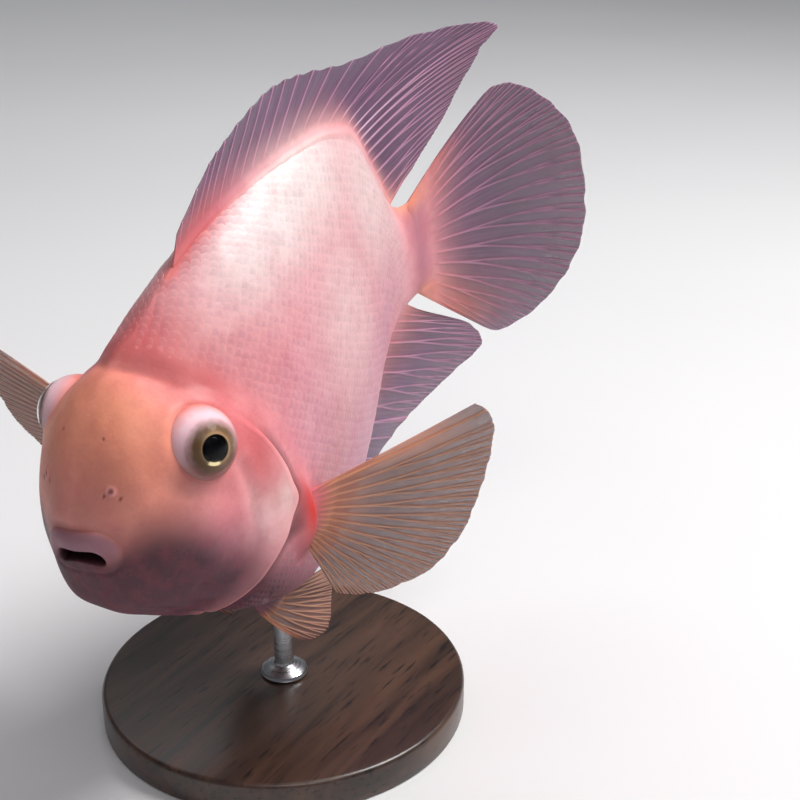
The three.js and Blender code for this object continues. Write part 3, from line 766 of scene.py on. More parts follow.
def fin_material(name, membrane, rays, warm, thin):
    """A fin's streaked membrane between its paler rays, fleshy at the root and clearer towards the rim."""
    material, tree = new_material(name)
    ray, out, flesh, warmth = (value_at(tree, key) for key in ("ray", "out", "flesh", "warm"))
    fibres = node(tree, "CombineXYZ", {0: value_at(tree, "across"), 1: times(tree, out, 0.5)}).outputs[0]
    streak = cloudy(tree, fibres, 6.0, 3.0)
    film = mixed(tree, ranged(tree, streak, 0.35, 0.7, 0.0, 0.22), membrane, rays)
    film = placed_group(tree, MOTTLE, Color=film, Tone=colour(92, 60, 84), Scale=90.0, Amount=0.35)
    film = mixed(tree, warmth, film, warm)
    bone = mixed(tree, ranged(tree, warmth, 0, 1, 0, 0.6), rays, warm)
    cover = mixed(tree, flesh, mixed(tree, ray, film, bone), placed_group(tree, MARKED))
    clear = ranged(tree, out, 0.1, 1.0, *thin)
    clear = worked(tree, "ADD", clear, ranged(tree, streak, 0.3, 0.7, -0.05, 0.05))
    solid = worked(tree, "ADD", clear, times(tree, ray, 0.45), clamp=True)
    solid = worked(tree, "MAXIMUM", solid, flesh, clamp=True)
    joints = node(tree, "TexWave", {"Vector": place_in(tree), "Scale": 240.0, "Distortion": 3.0,
                                    "Detail": 1.0}, bands_direction="DIAGONAL")
    return principled(material, {
        "Base Color": cover,
        "Alpha": solid,
        "Roughness": ranged(tree, ray, 0.0, 1.0, 0.36, 0.5),
        "Normal": bump(tree, times(tree, joints.outputs["Fac"], ray), 0.3, 0.06 * MM),
        "Coat Weight": 0.15, "Coat Roughness": 0.25,
        "Subsurface Weight": 0.3, "Subsurface Radius": (1.0, 0.5, 0.6), "Subsurface Scale": 0.001})


# From the middle of the pupil to the iris's edge: [angle from the gaze in right angles, colour]
IRIS_TONES = [(0.0, (3, 3, 7)), (0.214, (6, 5, 10)), (0.232, (60, 44, 34)), (0.243, (206, 168, 126)),
              (0.264, (178, 140, 102)), (0.305, (136, 104, 76)), (0.38, (126, 98, 74)),
              (0.46, (170, 128, 112))]


def eyeball_material():
    """The iris between the pupil and its edge, with a painted glint below the pupil that glows a little, and
    the flesh-coloured dome behind it, with painted light: paler on top and darker below.
    """
    material, tree = new_material("eyeball")
    out, low, front = (value_at(tree, key) for key in ("from_pupil", "low", "front"))
    streaks = cloudy(tree, place_in(tree), 600.0, 3.0)
    sway = times(tree, worked(tree, "SUBTRACT", streaks, 0.5), ranged(tree, out, 0.24, 0.4, 0, 0.12))
    place = worked(tree, "ADD", out, sway)
    # Painted light on the dome: pale on top and grey-brown below
    dome = mixed(tree, value_at(tree, "raised"), colour(150, 104, 100), colour(250, 208, 218))
    dome = mixed(tree, ranged(tree, place, 0.62, 0.98), dome, colour(232, 118, 98))
    ramp = node(tree, "ValToRGB", {"Fac": place})
    for stop in range(2, len(IRIS_TONES)):
        ramp.color_ramp.elements.new(IRIS_TONES[stop][0])
    for element, (stop, tint) in zip(ramp.color_ramp.elements, IRIS_TONES):
        element.position, element.color = stop, colour(*tint)
    # Olive on the front half of the iris: partly its own colour and partly painted shade
    olive = times(tree, times(tree, front, ranged(tree, out, 0.225, 0.26)), 0.75)
    iris = mixed(tree, olive, ramp.outputs["Color"], colour(98, 74, 50))
    toned = mixed(tree, ranged(tree, place, 0.52, 0.36), dome, iris)
    # A painted glint: a cream catchlight on the iris just below the pupil, which also glows a little
    painted_glint = times(tree, low, ranged(tree, out, 0.29, 0.26))
    painted_glint = times(tree, painted_glint, ranged(tree, out, 0.21, 0.225))
    toned = mixed(tree, painted_glint, toned, colour(255, 238, 190))
    return principled(material, {
        "Base Color": toned,
        "Emission Color": mixed(tree, painted_glint, (0, 0, 0, 1), (0.5, 0.38, 0.2, 1)), "Emission Strength": 1.0,
        "Specular IOR Level": 0.08,
        "Roughness": ranged(tree, out, 0.2, 0.26, 0.06, 0.36),
        "Coat Weight": ranged(tree, out, 0.42, 0.6, 0.0, 0.5), "Coat Roughness": 0.12,
        "Subsurface Weight": 0.15, "Subsurface Radius": (1.0, 0.5, 0.45), "Subsurface Scale": 0.0015})


def cornea_material():
    material, tree = new_material("cornea")
    return principled(material, {
        "Base Color": (1, 1, 1, 1), "Transmission Weight": 1.0, "IOR": 1.15,
        "Roughness": ranged(tree, cloudy(tree, place_in(tree), 300.0), 0.4, 0.7, 0.0, 0.03)})


def stretch(tree, scale):
    return node(tree, "Mapping", {"Vector": place_in(tree), "Scale": scale}).outputs["Vector"]


def wood_material():
    """Dark stained wood with a satin varnish."""
    material, tree = new_material("stained_wood")
    stretched = stretch(tree, (14.0, 130.0, 130.0))
    streak = ranged(tree, cloudy(tree, stretched, 1.0, 6.0, Distortion=0.6), 0.35, 0.68)
    pores = cloudy(tree, stretched, 7.0)
    tone = mixed(tree, streak, colour(46, 32, 27), colour(84, 58, 44))
    tone = mixed(tree, ranged(tree, pores, 0.58, 0.7), tone, colour(24, 16, 14))
    return principled(material, {
        "Base Color": tone, "Roughness": ranged(tree, streak, 0, 1, 0.34, 0.42),
        "Normal": bump(tree, pores, 0.2, 0.1 * MM),
        "Coat Weight": 0.3, "Coat Roughness": 0.25})


def steel_material():
    """Brushed steel, with its lines round the rod."""
    material, tree = new_material("brushed_steel")
    lines = cloudy(tree, stretch(tree, (40.0, 40.0, 4000.0)), 1.0, 3.0)
    return principled(material, {
        "Base Color": mixed(tree, lines, colour(176, 178, 182), colour(206, 208, 212)), "Metallic": 1.0,
        "Roughness": ranged(tree, lines, 0.3, 0.7, 0.22, 0.36),
        "Normal": bump(tree, lines, 0.12, 0.05 * MM)})


PORE_DEPTH = 0.3 * MM
NAPE_SHADE = 0.45
FACE_RINGS = (0.1, 0.3, 0.5, 0.7, 0.86)  # the middle of the face, inside the first ring


def skin_faces(rows):
    """The quads between the skin's rings, and a fan that closes each end."""
    first, last, end = rows * AROUND, rows * AROUND + 1, (rows - 1) * AROUND
    beside = [(a, (a + 1) % AROUND) for a in range(AROUND)]
    faces = quads(rows, AROUND, closed=True).tolist()
    faces += [[first, b, a] for a, b in beside]
    return faces + [[last, end + a, end + b] for a, b in beside]


def make_skin(material):
    """The skin, one piece from the lips to the root of the tail fin."""
    share, about, lift, rim, shade = skin_rings()
    turn = turn_of(about)
    normal = skin_normal(share, about)
    ground = bare_skin(share, about)
    rise = lift + flesh_rise(share, about, ground)
    pit, pore = pore_pits(share, about)
    points = tail_taper(ground + normal * (rise - PORE_DEPTH * pit)[..., None], share)
    flat = points.reshape(-1, 3)
    nostrils, ring = nostril_lift(flat)
    points = points + normal * (eye_rim(flat) + nostrils).reshape(share.shape)[..., None]
    behind = behind_gill(share, turn)
    # Painted shade just behind the nape's crease, on the upper body
    nape = smooth(0.4, 0.05, turn) * smooth(-1 * MM, 1 * MM, behind) * smooth(13 * MM, 1 * MM, behind)
    # rim holds the painted highlight of the gill cover's rim and the paler nostril rings; shade holds
    # painted shade
    values = {"share": share, "about": about, "pore": pore,
              "rim": np.maximum(rim, ring.reshape(share.shape)),
              "shade": np.maximum(shade, NAPE_SHADE * nape)}
    inner = [mix(points[0].mean(0), points[0], t) for t in FACE_RINGS]
    points, mouth_values = mouthed(np.concatenate([inner, points]).reshape(-1, 3))
    points = np.concatenate([points, [points[:AROUND].mean(0), points[-AROUND:].mean(0)]])
    values = {key: np.concatenate([sizes[:1]] * len(inner) + [sizes]) for key, sizes in values.items()}
    faces = skin_faces(len(values["share"]))

    def with_ends(sizes):
        sizes = np.ravel(sizes)
        return np.concatenate([sizes, [sizes[0], sizes[-1]]])

    values = {key: with_ends(sizes) for key, sizes in {**values, **mouth_values}.items()}
    mark(values, values.pop("share"), values.pop("about"))
    return make_piece("fish_skin", placed(points), faces, material,
                      ("head", "gill_cover_left", "gill_cover_right", "torso", "tail_stalk"), values)


# Scales, laid in rows along the flank like roof tiles
SCALE = {"along": 2.9 * MM, "row": 2.7 * MM, "long": 4.7 * MM, "wide": 3.5 * MM, "rise": 0.18 * MM,
         "sunk": 0.16 * MM, "bulge": 0.16 * MM}
SCALE_ROOT = 0.3  # how much of a scale lies in front of its place
# Their size where the coat ends, against that on the flank, and how much they differ from each other
SIZE_AT = {"gill": 0.55, "back": 0.7, "belly": 0.8, "tail": 0.75}
DIFFER = {"size": 0.06, "sway": 0.13, "tilt": 0.12}
SCALES_START = 0.011  # how far behind the gill opening, in shares of the length
FIRST_ROW = 0.13
SCALE_OUTLINE = 12
PATCH = 0.003  # the size of a scale's place on the map


def scale_template():
    """The points of one scale as [along, across, height], and its faces. Its rim is rounded, its middle
    bulges a little and its underside, with a height of -1, is sunk in the skin."""
    n = SCALE_OUTLINE
    angle = np.arange(n) * 2 * math.pi / n
    along = 0.5 - 0.5 * np.cos(angle)
    across = np.sin(angle) * (1 - 0.18 * np.cos(angle) ** 2)
    rim = np.stack([along, across, np.zeros(n)], -1)
    inner = np.stack([mix(0.5, along, 0.62), 0.62 * across, np.full(n, 0.28)], -1)
    under = np.stack([along, across, np.full(n, -1.0)], -1)
    points = np.concatenate([rim, inner, [[0.5, 0, 0.36]], under])
    faces = []
    for a in range(n):
        b = (a + 1) % n
        faces += [[a, b, n + b, n + a], [n + a, n + b, 2 * n], [b, a, 2 * n + 1 + a, 2 * n + 1 + b]]
    faces.append([2 * n + 1 + k for k in range(n)][::-1])
    return points, faces


def scale_places():
    """Share and turn of the root of each scale of one flank, and how much turn a metre down is there."""
    places = []
    turns = np.linspace(0, 1, 240)
    steps = int((SCALES_END - FIRST_ROW) * LENGTH / (SCALE["along"] / 2))
    for k in range(steps):
        share = FIRST_ROW + k * SCALE["along"] / 2 / LENGTH
        shift = (k % 2) / 2  # every other column is half a row lower
        line = bare_skin(np.full(turns.shape, share), turns / 2)
        reach = np.concatenate([[0], np.cumsum(np.linalg.norm(np.diff(line, axis=0), axis=1))])
        middle = np.interp(0.5, turns, reach)
        first = math.ceil(-middle / SCALE["row"] - shift)
        last = math.floor((reach[-1] - middle) / SCALE["row"] - shift)
        for row in range(first, last + 1):
            down = middle + (row + shift) * SCALE["row"]
            turn = np.interp(down, reach, turns)
            rate = 1 / np.interp(turn, turns, np.gradient(reach, turns))
            behind = share - GILL_EDGE(turn) > SCALES_START
            under_fin = turn < 0.045 and share > 0.3 or turn < 0.012
            if behind and not under_fin and on_lobe(share, turn / 2) < 0.02:
                places.append((share, turn, rate))
    return np.array(places)


def make_scales(side, material):
    """The scales of one flank, each a thin closed plate that follows the skin. Those near the coat's edges
    are smaller, lie flatter and show less."""
    rng = np.random.default_rng(7 + side)
    places = scale_places()
    template, template_faces = scale_template()
    count, corners = len(places), len(template)
    share, turn, rate = (places[:, k, None] for k in range(3))
    size = 1 + DIFFER["size"] * rng.standard_normal((count, 1))
    behind = share - GILL_EDGE(turn) - SCALES_START
    size = size * mix(SIZE_AT["gill"], 1, smooth(0, 0.09, behind))
    size = size * mix(SIZE_AT["back"], 1, smooth(0, 0.12, turn))
    size = size * mix(SIZE_AT["belly"], 1, smooth(1, 0.88, turn))
    size = size * mix(1, SIZE_AT["tail"], smooth(0.75, SCALES_END, share))
    along, across, high = (template[None, :, k] for k in range(3))
    sway = DIFFER["sway"] * rng.standard_normal((count, 1))
    back = (along - SCALE_ROOT) * SCALE["long"] * size + across * sway * SCALE["wide"] / 2
    place_share = share + back / LENGTH
    place_about = (turn + across * SCALE["wide"] / 2 * size * rate) / 2
    if side == RIGHT:
        place_about = 1 - place_about
    ground, normal = body_surface(place_share.ravel(), place_about.ravel())
    settled = smooth(-0.005, 0.06, behind) * smooth(SCALES_END, 0.85, share)
    tilt = mix(-SCALE["sunk"], SCALE["rise"] * mix(0.1, 1, settled), along)
    tilt = tilt * (1 + DIFFER["tilt"] * rng.standard_normal((count, 1))) - SCALE["sunk"] / 2 * (1 - settled)
    height = np.where(high < 0, -SCALE["sunk"] * 1.6, tilt + high * SCALE["bulge"])
    points = tail_taper(ground + normal * height.reshape(-1, 1), place_share.ravel())
    faces = [[start + corner for corner in face]
             for start in range(0, count * corners, corners) for face in template_faces]
    root_share = np.repeat(share.ravel(), corners)
    root_about = np.repeat(place_about.reshape(count, corners)[:, 2 * SCALE_OUTLINE], corners)
    values = mark({}, root_share, root_about)
    shown = mix(0.15, 1, settled.ravel())
    dusk = np.exp(-(((template[:, 0] - 0.62) / 0.2) ** 2) - (template[:, 1] / 0.5) ** 2)
    for key, shape, strength in (("root_shade", smooth(0.6, 0.15, template[:, 0]), shown),
                                 ("edge_light", smooth(0.75, 1, template[:, 0]), shown),
                                 ("spot", dusk, shown * rng.uniform(0.3, 1, count))):
        values[key] = np.outer(strength, shape)
    piece = make_piece("scales_" + SIDE_NAMES[side], placed(points), faces, material, (),
                       values, sharp=40)
    around = np.stack([0.03 + 0.94 * share + (along - 0.5) * PATCH,
                       0.03 + 0.94 * turn + across * PATCH / 2], -1).reshape(-1, 2)
    corner_points = np.zeros(len(piece.data.loops), int)
    piece.data.loops.foreach_get("vertex_index", corner_points)
    bake_map(piece, around[corner_points])
    return piece


# Fins
FILM = {"root": 0.6 * MM, "rim": 0.26 * MM}  # its thickness
RAY = {"root": 0.42 * MM, "rim": 0.16 * MM, "wide_root": 0.44 * MM, "wide_rim": 0.27 * MM}
FILLET = {"thick": 3.8 * MM, "reach": 2.3 * MM}  # the flesh where a fin leaves the body
# The fins in the middle plane: lines [share, share up] at the root and the rim, the number of rays, how much
# of the fin has unsplit spines, and in mm how much of it the scales cover and how far its flesh reaches
DORSAL = {
    "root": line_through([[0.318, 0.256], [0.426, 0.287], [0.59, 0.308], [0.744, 0.287], [0.846, 0.226],
                          [0.918, 0.108]]),
    "rim": line_through([[0.359, 0.318], [0.454, 0.385], [0.503, 0.412], [0.588, 0.442], [0.665, 0.451],
                         [0.756, 0.437], [0.88, 0.414], [1.065, 0.41], [1.222, 0.39], [1.187, 0.345],
                         [1.138, 0.284], [1.082, 0.221], [1, 0.159]]),
    "rays": 27, "spines": 0.55, "covered": 0.5, "fleshy": 4.6, "node": "dorsal_fin",
}
ANAL = {
    "root": line_through([[0.59, -0.338], [0.692, -0.272], [0.795, -0.185], [0.877, -0.118],
                          [0.928, -0.092]]),
    "rim": line_through([[0.651, -0.379], [0.754, -0.39], [0.869, -0.369], [0.957, -0.35],
                         [1.052, -0.324], [1.137, -0.287], [1.123, -0.236], [1.062, -0.19],
                         [0.99, -0.144]]),
    "rays": 15, "spines": 0.3, "covered": 1, "fleshy": 5.5, "node": "anal_fin",
}
TAIL = {
    "root": line_through([[0.974, 0.092], [0.969, 0.051], [0.967, 0], [0.969, -0.051], [0.974, -0.092]]),
    "rim": line_through([[1.158, 0.231], [1.226, 0.269], [1.305, 0.233], [1.37, 0.154], [1.39, 0.003],
                         [1.361, -0.133], [1.282, -0.232], [1.188, -0.269], [1.133, -0.236]]),
    "rays": 16, "spines": 0.06, "covered": 5.5, "fleshy": 8, "node": "tail_fin",
}
# The paired fins: where they grow from in shares back, left and up, the line of their root in mm, the
# directions of their first and last ray, and the rays' lengths from the first (0) to the last (1)
PECTORAL = {"root": [0.333, 0.165, -0.16], "root_line": [-1, -2, -12], "rays": 14, "curl": 0.04,
            "bend": 0, "thick": 3.6 * MM, "fleshy": 0.2, "sunk": -0.03,
            "lengths": [[0, 0.335], [0.08, 0.348], [0.3, 0.315], [0.55, 0.27], [0.8, 0.2], [1, 0.13]]}
PECTORAL_SIDES = {LEFT: {"first": [0.74, 0.63, 0.24], "last": [0.1, 0.35, -0.9]},
                  RIGHT: {"first": [-0.1, 0.81, 0.6], "last": [0.1, 0.95, -0.35]}}
PELVIC = {"root": [0.318, 0.062, -0.365], "root_line": [7, 2, -1], "rays": 7, "curl": 0, "bend": 0.25,
          "thick": 2.6 * MM, "fleshy": 0.28, "sunk": -0.02,
          "first": [0.3, 0.2, -0.93], "last": [0.95, 0.1, -0.35],
          "lengths": [[0, 0.16], [0.2, 0.18], [0.5, 0.165], [1, 0.11]]}


def ray_relief(a, b, count, spines, spacing):
    """How high the rays stand, from 0 to 1. Behind the spines each ray splits in two and again in two."""
    branch = smooth(spines - 0.02, spines + 0.04, a)
    first = 0.25 * branch * smooth(0.3, 0.75, b)
    second = 0.11 * branch * smooth(0.62, 1, b)
    off = np.abs((a * count) % 1 - 0.5)
    off = np.abs(np.abs(off - first) - second) * spacing
    wide = mix(RAY["wide_root"], RAY["wide_rim"], np.sqrt(b)) * mix(1, 0.8, branch)
    return hump(off, wide)


def ragged(a, count, spines, rng):
    """How far out each part of the rim reaches: the film is cut in between rays, more behind spines."""
    between = np.cos(2 * np.pi * (a * count - 0.5)) / 2 - 0.5
    depth = mix(0.018, 0.006, smooth(spines, spines + 0.1, a))
    uneven = np.interp(a * count, np.arange(count + 1), rng.uniform(-0.014, 0.004, count + 1))
    frayed = np.interp(a * count, np.arange(0, count + 0.1, 0.125), rng.uniform(-0.005, 0, count * 8 + 1))
    return 1 + depth * between + uneven + frayed


def sheet_piece(name, middle, normal, thick, material, replaced, values):
    """A closed sheet from a grid of middle points, with the same grid on both faces."""
    rows, columns = thick.shape
    faces = np.concatenate([middle + side * normal * thick[..., None] / 2 for side in (1, -1)])
    points = faces.reshape(-1, 3)
    half = rows * columns
    near = quads(rows, columns)
    far = near[:, ::-1] + half
    border = np.concatenate([np.arange(columns - 1), np.arange(rows - 1) * columns + columns - 1,
                             half - 1 - np.arange(columns - 1), (rows - 1 - np.arange(rows - 1)) * columns])
    following = np.roll(border, -1)
    rim = np.stack([border, border + half, following + half, following], -1)
    doubled = {key: np.concatenate([np.ravel(value)] * 2) for key, value in values.items()}
    return make_piece(name, placed(points), np.concatenate([near, far, rim]), material,
                      replaced, doubled)


def fin_grid(count, fine=20, rows=70):
    """How far across (a) and out (b) each point of a fin lies."""
    return np.meshgrid(np.linspace(0, 1, count * fine + 1), np.linspace(0, 1, rows + 1) ** 0.9)


def spacing_of(middle, count):
    """How far apart the rays stand at each point."""
    step = np.linalg.norm(np.gradient(middle, axis=1), axis=-1)
    return step * (middle.shape[1] - 1) / count


def fin_thickness(b, relief):
    film = mix(FILM["root"], FILM["rim"], np.sqrt(b))
    return film + 2 * mix(RAY["root"], RAY["rim"], b) * relief


def turn_at(share, up):
    """How far round the body a height in its middle plane lies."""
    top, bottom = BACK(share), BELLY(share)
    return np.arccos(np.clip((2 * up - top - bottom) / (top - bottom), -1, 1)) / np.pi


def make_median_fin(fin, material, seed, height_over_body, warm, ripple):
    """A fin in the fish's middle plane, from its root in the flesh to its rim."""
    rng = np.random.default_rng(seed)
    count = fin["rays"]
    a, b = fin_grid(count)
    reach = b * mix(1, ragged(a, count, fin["spines"], rng), smooth(0.3, 1, b))
    start, end = fin["root"](a), fin["rim"](a)
    share, up = (mix(start[..., k], end[..., k], reach) for k in (0, 1))
    wave = ripple * np.sin(2 * np.pi * (a * 2.3 + 0.2 * b) + seed) * smooth(0.15, 1, b)
    middle = pose(share, wave, up * LENGTH)
    normal = unit(pose(share, wave + 1 * MM, up * LENGTH) - middle)
    relief = ray_relief(a, b, count, fin["spines"], spacing_of(middle, count))
    over = height_over_body(share, up * LENGTH)
    fillet = FILLET["thick"] * np.exp(-np.maximum(over + 1 * MM, 0) / FILLET["reach"])
    fillet = fillet * np.sin(np.pi * np.clip(a, 0.01, 0.99)) ** 0.7
    flesh = np.exp(-((np.maximum(over - fin["covered"] * MM, 0) / (fin["fleshy"] * MM)) ** 1.5))
    relief = relief * smooth((fin["covered"] - 1) * MM, (fin["covered"] + 6) * MM, over)
    body_share = np.minimum(share, SKIN_END)
    turn = turn_at(body_share, up * LENGTH)
    values = {"ray": relief, "out": b, "flesh": flesh, "warm": warm(a, b), "across": a * count}
    mark(values, body_share, turn / 2)
    return sheet_piece(fin["node"] + "_skin", middle, normal, fin_thickness(b, relief) + fillet, material,
                       (fin["node"],), values)


def make_paired_fin(fin, side, name, material, seed, warm):
    """A fan of rays on one side, cupped and bent back a little."""
    rng = np.random.default_rng(seed)
    count = fin["rays"]
    a, b = fin_grid(count)
    on_side = np.array([1, -side, 1.0])
    first, last = (unit(np.array(fin[key]) * on_side) for key in ("first", "last"))
    axis = unit(np.cross(first, last))
    spread = math.acos(float(first @ last)) * a[..., None]
    out = first * np.cos(spread) + np.cross(axis, first) * np.sin(spread)
    back, left, up = fin["root"]
    centre = pose(back, side * left * LENGTH, up * LENGTH)
    reach = mix(fin["sunk"], mix(1, ragged(a, count, 0, rng), smooth(0.3, 1, b)), b)
    length = curve_through(fin["lengths"])(a) * LENGTH
    middle = centre + out * (reach * length)[..., None]
    middle = middle + np.array(fin["root_line"]) * MM * on_side * (a - 0.5)[..., None]
    wave = 0.5 * MM * np.sin(2 * np.pi * a * 1.7 + seed) * b**2
    middle = middle + axis * (fin["curl"] * length * b * b + wave)[..., None]
    middle[..., 0] += fin["bend"] * length * b * b
    in_flesh = b / fin["fleshy"]
    relief = ray_relief(a, b, count, 0.05, spacing_of(middle, count)) * smooth(0.1, 1.3, in_flesh)
    # The flesh at the root swells to a rounded pad
    pad = np.maximum(1 - ((in_flesh - 0.33) / 0.67) ** 2, 0) ** 0.7
    thick = fin_thickness(b, relief) + fin["thick"] * pad * np.sin(np.pi * np.clip(a, 0.03, 0.97)) ** 0.5
    turn = turn_at(back, up * LENGTH) + 0.12 * (a - 0.5)
    values = {"ray": relief, "out": b, "flesh": smooth(1.0, 0.4, in_flesh), "warm": warm(a, b),
              "across": a * count}
    mark(values, np.full(a.shape, back + 0.015), turn / 2 if side == LEFT else 1 - turn / 2)
    return sheet_piece(name + "_skin", middle, np.broadcast_to(axis, middle.shape), thick, material,
                       (name,), values)


# Eyes
def turned_points(outline, segments):
    """Rings of an outline of [radius, height] about +Z."""
    angle = np.arange(segments) * 2 * math.pi / segments
    radius, height = np.array(outline, float).T
    ring = np.stack([np.cos(angle), np.sin(angle)], -1)
    across = radius[:, None, None] * ring[None]
    return np.concatenate([across, np.broadcast_to(height[:, None, None], across[..., :1].shape)], -1)


def capped_faces(rows, segments):
    """Faces of stacked rings with a flat at each end."""
    last = (rows - 1) * segments
    ends = [list(range(segments))[::-1], [last + k for k in range(segments)]]
    return quads(rows, segments, closed=True).tolist() + ends


def eye_axes(side):
    """The eye's own axes as rows: front and up on its face, and its gaze."""
    out = gaze(side)
    up = unit(np.array([0, 0, 1.0]) - out * out[2])
    front = np.cross(up, out)
    front = front * -np.sign(front[0])
    return np.stack([front, up, out])


EYE_SEGMENTS = 96


def on_eye(points, side):
    """Takes points from the eye's own axes to their place."""
    return placed(points @ eye_axes(side) + eye_centre(side))


def make_eyeball(side, material):
    """The ball with its sunken iris, and the lens that stands in the pupil."""
    radius = EYE["radius"]
    edge = math.asin(IRIS_EDGE / radius)
    angles = np.linspace(math.pi - 0.02, edge, 60)
    outline = [[radius * math.sin(t), radius * math.cos(t)] for t in angles]
    iris = [[mix(IRIS_EDGE, PUPIL, t), outline[-1][1] + IRIS_BULGE * t * (1.2 - 0.2 * t)]
            for t in np.linspace(0.07, 1, 14)]
    pupil_height = iris[-1][1]
    lens = [[PUPIL * 0.97, pupil_height - 0.25 * MM]]
    lens += [[PUPIL * 0.93 * math.cos(t), pupil_height - 0.5 * MM + 0.9 * MM * math.sin(t)]
             for t in np.linspace(0.05, math.pi / 2 - 0.05, 9)]
    rings = turned_points(outline + iris + lens, EYE_SEGMENTS)
    points = rings.reshape(-1, 3)
    inner_angles = np.arcsin(np.array([p[0] for p in iris + lens]) / radius)
    right_angles = np.concatenate([angles, inner_angles]) / (math.pi * 0.5)
    # low marks where the painted glint lies, below the pupil
    low = smooth(0.55, 0.25, np.abs(np.arctan2(points[:, 1], points[:, 0]) + 1.15))
    front = smooth(-0.4, 0.8, points[:, 0] / np.maximum(np.hypot(points[:, 0], points[:, 1]), 1e-9))
    # raised tells how high round the ball a point lies, for the dome's painted light
    values = {"from_pupil": np.repeat(right_angles, EYE_SEGMENTS), "low": low, "front": front,
              "raised": smooth(-0.5, 0.75, points[:, 1] / radius)}
    name = "eye_" + SIDE_NAMES[side]
    make_piece(name + "_ball", on_eye(points, side), capped_faces(len(rings), EYE_SEGMENTS), material,
               (name,), values)


def make_cornea(side, material):
    """The clear shell over the iris and the lens, with an outer and an inner dome."""
    foot = math.asin(CORNEA_FOOT / EYE["radius"])
    outer = []
    for t in np.linspace(1, 0.03, 14):
        reach = EYE["radius"] + mix(CORNEA_RISE, 0.02 * MM, t**2)
        outer.append([reach * math.sin(foot * t), reach * math.cos(foot * t)])
    inner = [[r * 0.97, z - 0.18 * MM] for r, z in reversed(outer)]
    points = turned_points(outer + inner, EYE_SEGMENTS).reshape(-1, 3)
    half, last = len(points) // 2, len(points) - EYE_SEGMENTS
    dome = quads(len(outer), EYE_SEGMENTS, closed=True)
    faces = np.concatenate([dome, dome + half]).tolist()
    around = range(EYE_SEGMENTS)
    faces += [[last + k, last + (k + 1) % EYE_SEGMENTS, (k + 1) % EYE_SEGMENTS, k] for k in around]
    faces += [[half - EYE_SEGMENTS + k for k in around], [half + k for k in around][::-1]]
    make_piece("eye_" + SIDE_NAMES[side] + "_cornea", on_eye(points, side), faces, material, ())


# The stand
def make_turned(name, outline, material, segments=160):
    rings = turned_points(np.array(outline) * MM, segments)
    return make_piece(name, rings.reshape(-1, 3), capped_faces(len(rings), segments), material,
                      (name.replace("_turned", ""),), sharp=35)


def arc(centre, radius, start, end, steps=6):
    """Points of a rounded edge, with its angles in degrees."""
    return [[centre[0] + radius * math.cos(math.radians(t)), centre[1] + radius * math.sin(math.radians(t))]
            for t in np.linspace(start, end, steps)]


def make_stand(wood, steel):
    """The base with its hollow foot and rounded rim, and the rod with its foot, as outlines in mm."""
    top, round_over = BASE_HEIGHT / MM, 1.4
    base = [[0.5, 0.6], [44, 0.6], [44, 0], *arc((49.2, 0.8), 0.8, -90, 0, 4),
            *arc((50 - round_over, top - round_over), round_over, 0, 90), [12, top], [0.5, top]]
    make_turned("stand_base_turned", base, wood)
    rod_top = BELLY_HEIGHT / MM + 8.5
    foot = [[6.2, 9.1], *arc((6.2, 9.6), 0.3, -60, 60, 4), [6.2, 10.6], [5.0, 11.5], [3.8, 11.9],
            [2.9, 12.4], [2.6, 13.2]]
    rod = [[0.3, 3.2], [2.6, 3.2], [2.6, 9.05], *foot, [2.6, rod_top], [0.3, rod_top]]
    make_turned("stand_rod_turned", rod, steel, segments=64)


# The photo's view, in the fish's own frame
CAMERA = {"at": (-161.5, -197.5, 175.3), "right": (0.503, -0.859, -0.100), "up": (0.503, 0.196, 0.842),
          "lens": 63.0}


def make_camera():
    data = bpy.data.cameras.new("photo_view")
    data.lens = CAMERA["lens"]
    data.clip_start = 0.01
    camera = in_scene("photo_view", data)
    right = Vector(CAMERA["right"]).normalized()
    backwards = right.cross(Vector(CAMERA["up"])).normalized()
    turn = Matrix([right, backwards.cross(right), backwards]).transposed()
    camera.matrix_world = PLACE @ Matrix.Translation(Vector(CAMERA["at"]) * MM) @ turn.to_4x4()
    bpy.context.scene.camera = camera


def make_light(name, at, aim, size, power, tint):
    data = bpy.data.lights.new(name, "AREA")
    data.shape = "DISK"
    data.size, data.energy, data.color = size, power, tint
    light = in_scene(name, data)
    light.location = at
    light.rotation_euler = (Vector(aim) - Vector(at)).to_track_quat("-Z", "Y").to_euler()


def make_floor(segments=96):
    """A pale floor that curves up behind."""
    material, tree = new_material("studio_floor")
    cloud = cloudy(tree, place_in(tree), 3.0, 3.0)
    principled(material, {"Base Color": mixed(tree, cloud, colour(222, 222, 224), colour(232, 232, 233)),
                          "Roughness": 0.85, "Specular IOR Level": 0.2})
    reach, turn_up = 3.2, 1.2
    outline = [[0.001, 0], [reach * 0.5, 0], *arc((reach, turn_up), turn_up, -90, -20, 10)]
    rings = turned_points(outline, segments)
    faces = quads(len(rings), segments, closed=True).tolist() + [list(range(segments))]
    mesh = bpy.data.meshes.new("floor")
    mesh.from_pydata(rings.reshape(-1, 3).tolist(), [], faces)
    mesh.shade_smooth()
    mesh.materials.append(material)
    in_scene("floor", mesh)


# Name, place, what it shines on, size, watts and tint
LAMPS = [("key_above", (0.4, -0.5, 1.1), (0, 0, 0.12), 0.55, 15.0, (1.0, 0.98, 0.96)),
         ("soft_front", (-0.75, -0.85, 1.5), (0, 0, 0.12), 1.0, 7.0, (1.0, 0.96, 0.96)),
         ("wide_behind", (0.9, 1.2, 2.4), (0.5, 0.6, 0), 2.0, 17.0, (0.96, 0.97, 1.0))]


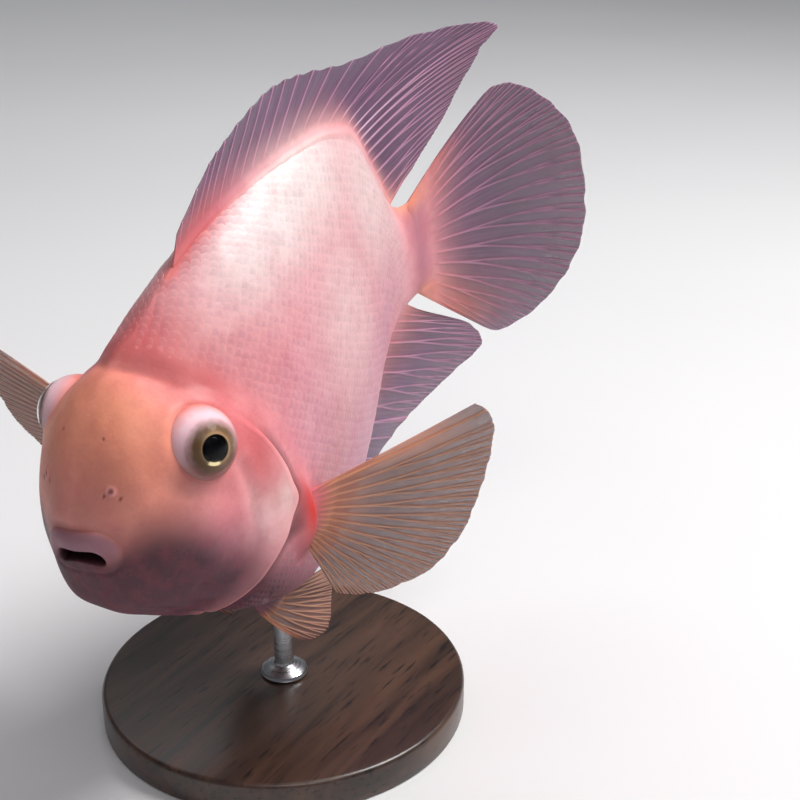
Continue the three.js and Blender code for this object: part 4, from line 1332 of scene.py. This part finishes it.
def make_studio():
    """The floor, soft lamps and the light of a pale room."""
    make_floor()
    for name, *settings in LAMPS:
        make_light(name, *settings)
    world = bpy.data.worlds.new("studio")
    world.use_nodes = True
    room = {"Color": (0.80, 0.82, 0.88, 1), "Strength": 0.13}
    feed(world.node_tree, world.node_tree.nodes["Background"], room)
    bpy.context.scene.world = world
    bpy.context.scene.view_settings.view_transform = "Standard"


# How far out of the body a point of the middle plane is, at the dorsal, anal and tail fin
def over_back(share, up):
    return up - BACK(share)


def under_belly(share, up):
    return BELLY(share) - up


def behind_stalk(share, up):
    return (share - 0.995) * LENGTH


# How orange each fin is, by how far back (a) and out (b)
def dorsal_warmth(a, b):
    return 0.75 * smooth(0.3, 0, a) * smooth(0.8, 0.1, b)


def anal_warmth(a, b):
    return 0.3 * smooth(0.6, 0, b)


def tail_warmth(a, b):
    upper = hump(a - 0.02, 0.12) * smooth(0.7, 0.3, b)
    lower = hump(a - 0.95, 0.17) * smooth(1.0, 0.5, b)
    return np.maximum(upper, 0.8 * lower)


def paired_warmth(a, b):
    """Orange along the leading ray and near the root."""
    return np.maximum(0.75 * smooth(0.5, 0.1, b), 0.8 * smooth(0.12, 0.02, a) * smooth(1.0, 0.6, b))


make_camera()
SKIN = skin_material()
SCALES = scale_material()
FINS = fin_material("fin_film", colour(100, 62, 104), colour(200, 150, 178),
                    colour(226, 116, 66), (0.88, 0.62))
PAIRED_FINS = fin_material("paired_fin_film", colour(124, 88, 84), colour(192, 144, 118),
                           colour(228, 150, 112), (0.74, 0.6))
make_skin(SKIN)
for side in SIDE_NAMES:
    make_scales(side, SCALES)
make_median_fin(DORSAL, FINS, 3, over_back, dorsal_warmth, 0.5 * MM)
make_median_fin(ANAL, FINS, 5, under_belly, anal_warmth, 0.4 * MM)
make_median_fin(TAIL, FINS, 8, behind_stalk, tail_warmth, 0.7 * MM)
for side, side_name in SIDE_NAMES.items():
    make_paired_fin({**PECTORAL, **PECTORAL_SIDES[side]}, side, "pectoral_fin_" + side_name, PAIRED_FINS,
                    11 + side, paired_warmth)
    make_paired_fin(PELVIC, side, "pelvic_fin_" + side_name, PAIRED_FINS, 17 + side, paired_warmth)
EYEBALL, CORNEA = eyeball_material(), cornea_material()
for side in SIDE_NAMES:
    make_eyeball(side, EYEBALL)
    make_cornea(side, CORNEA)
make_stand(wood_material(), steel_material())
make_studio()
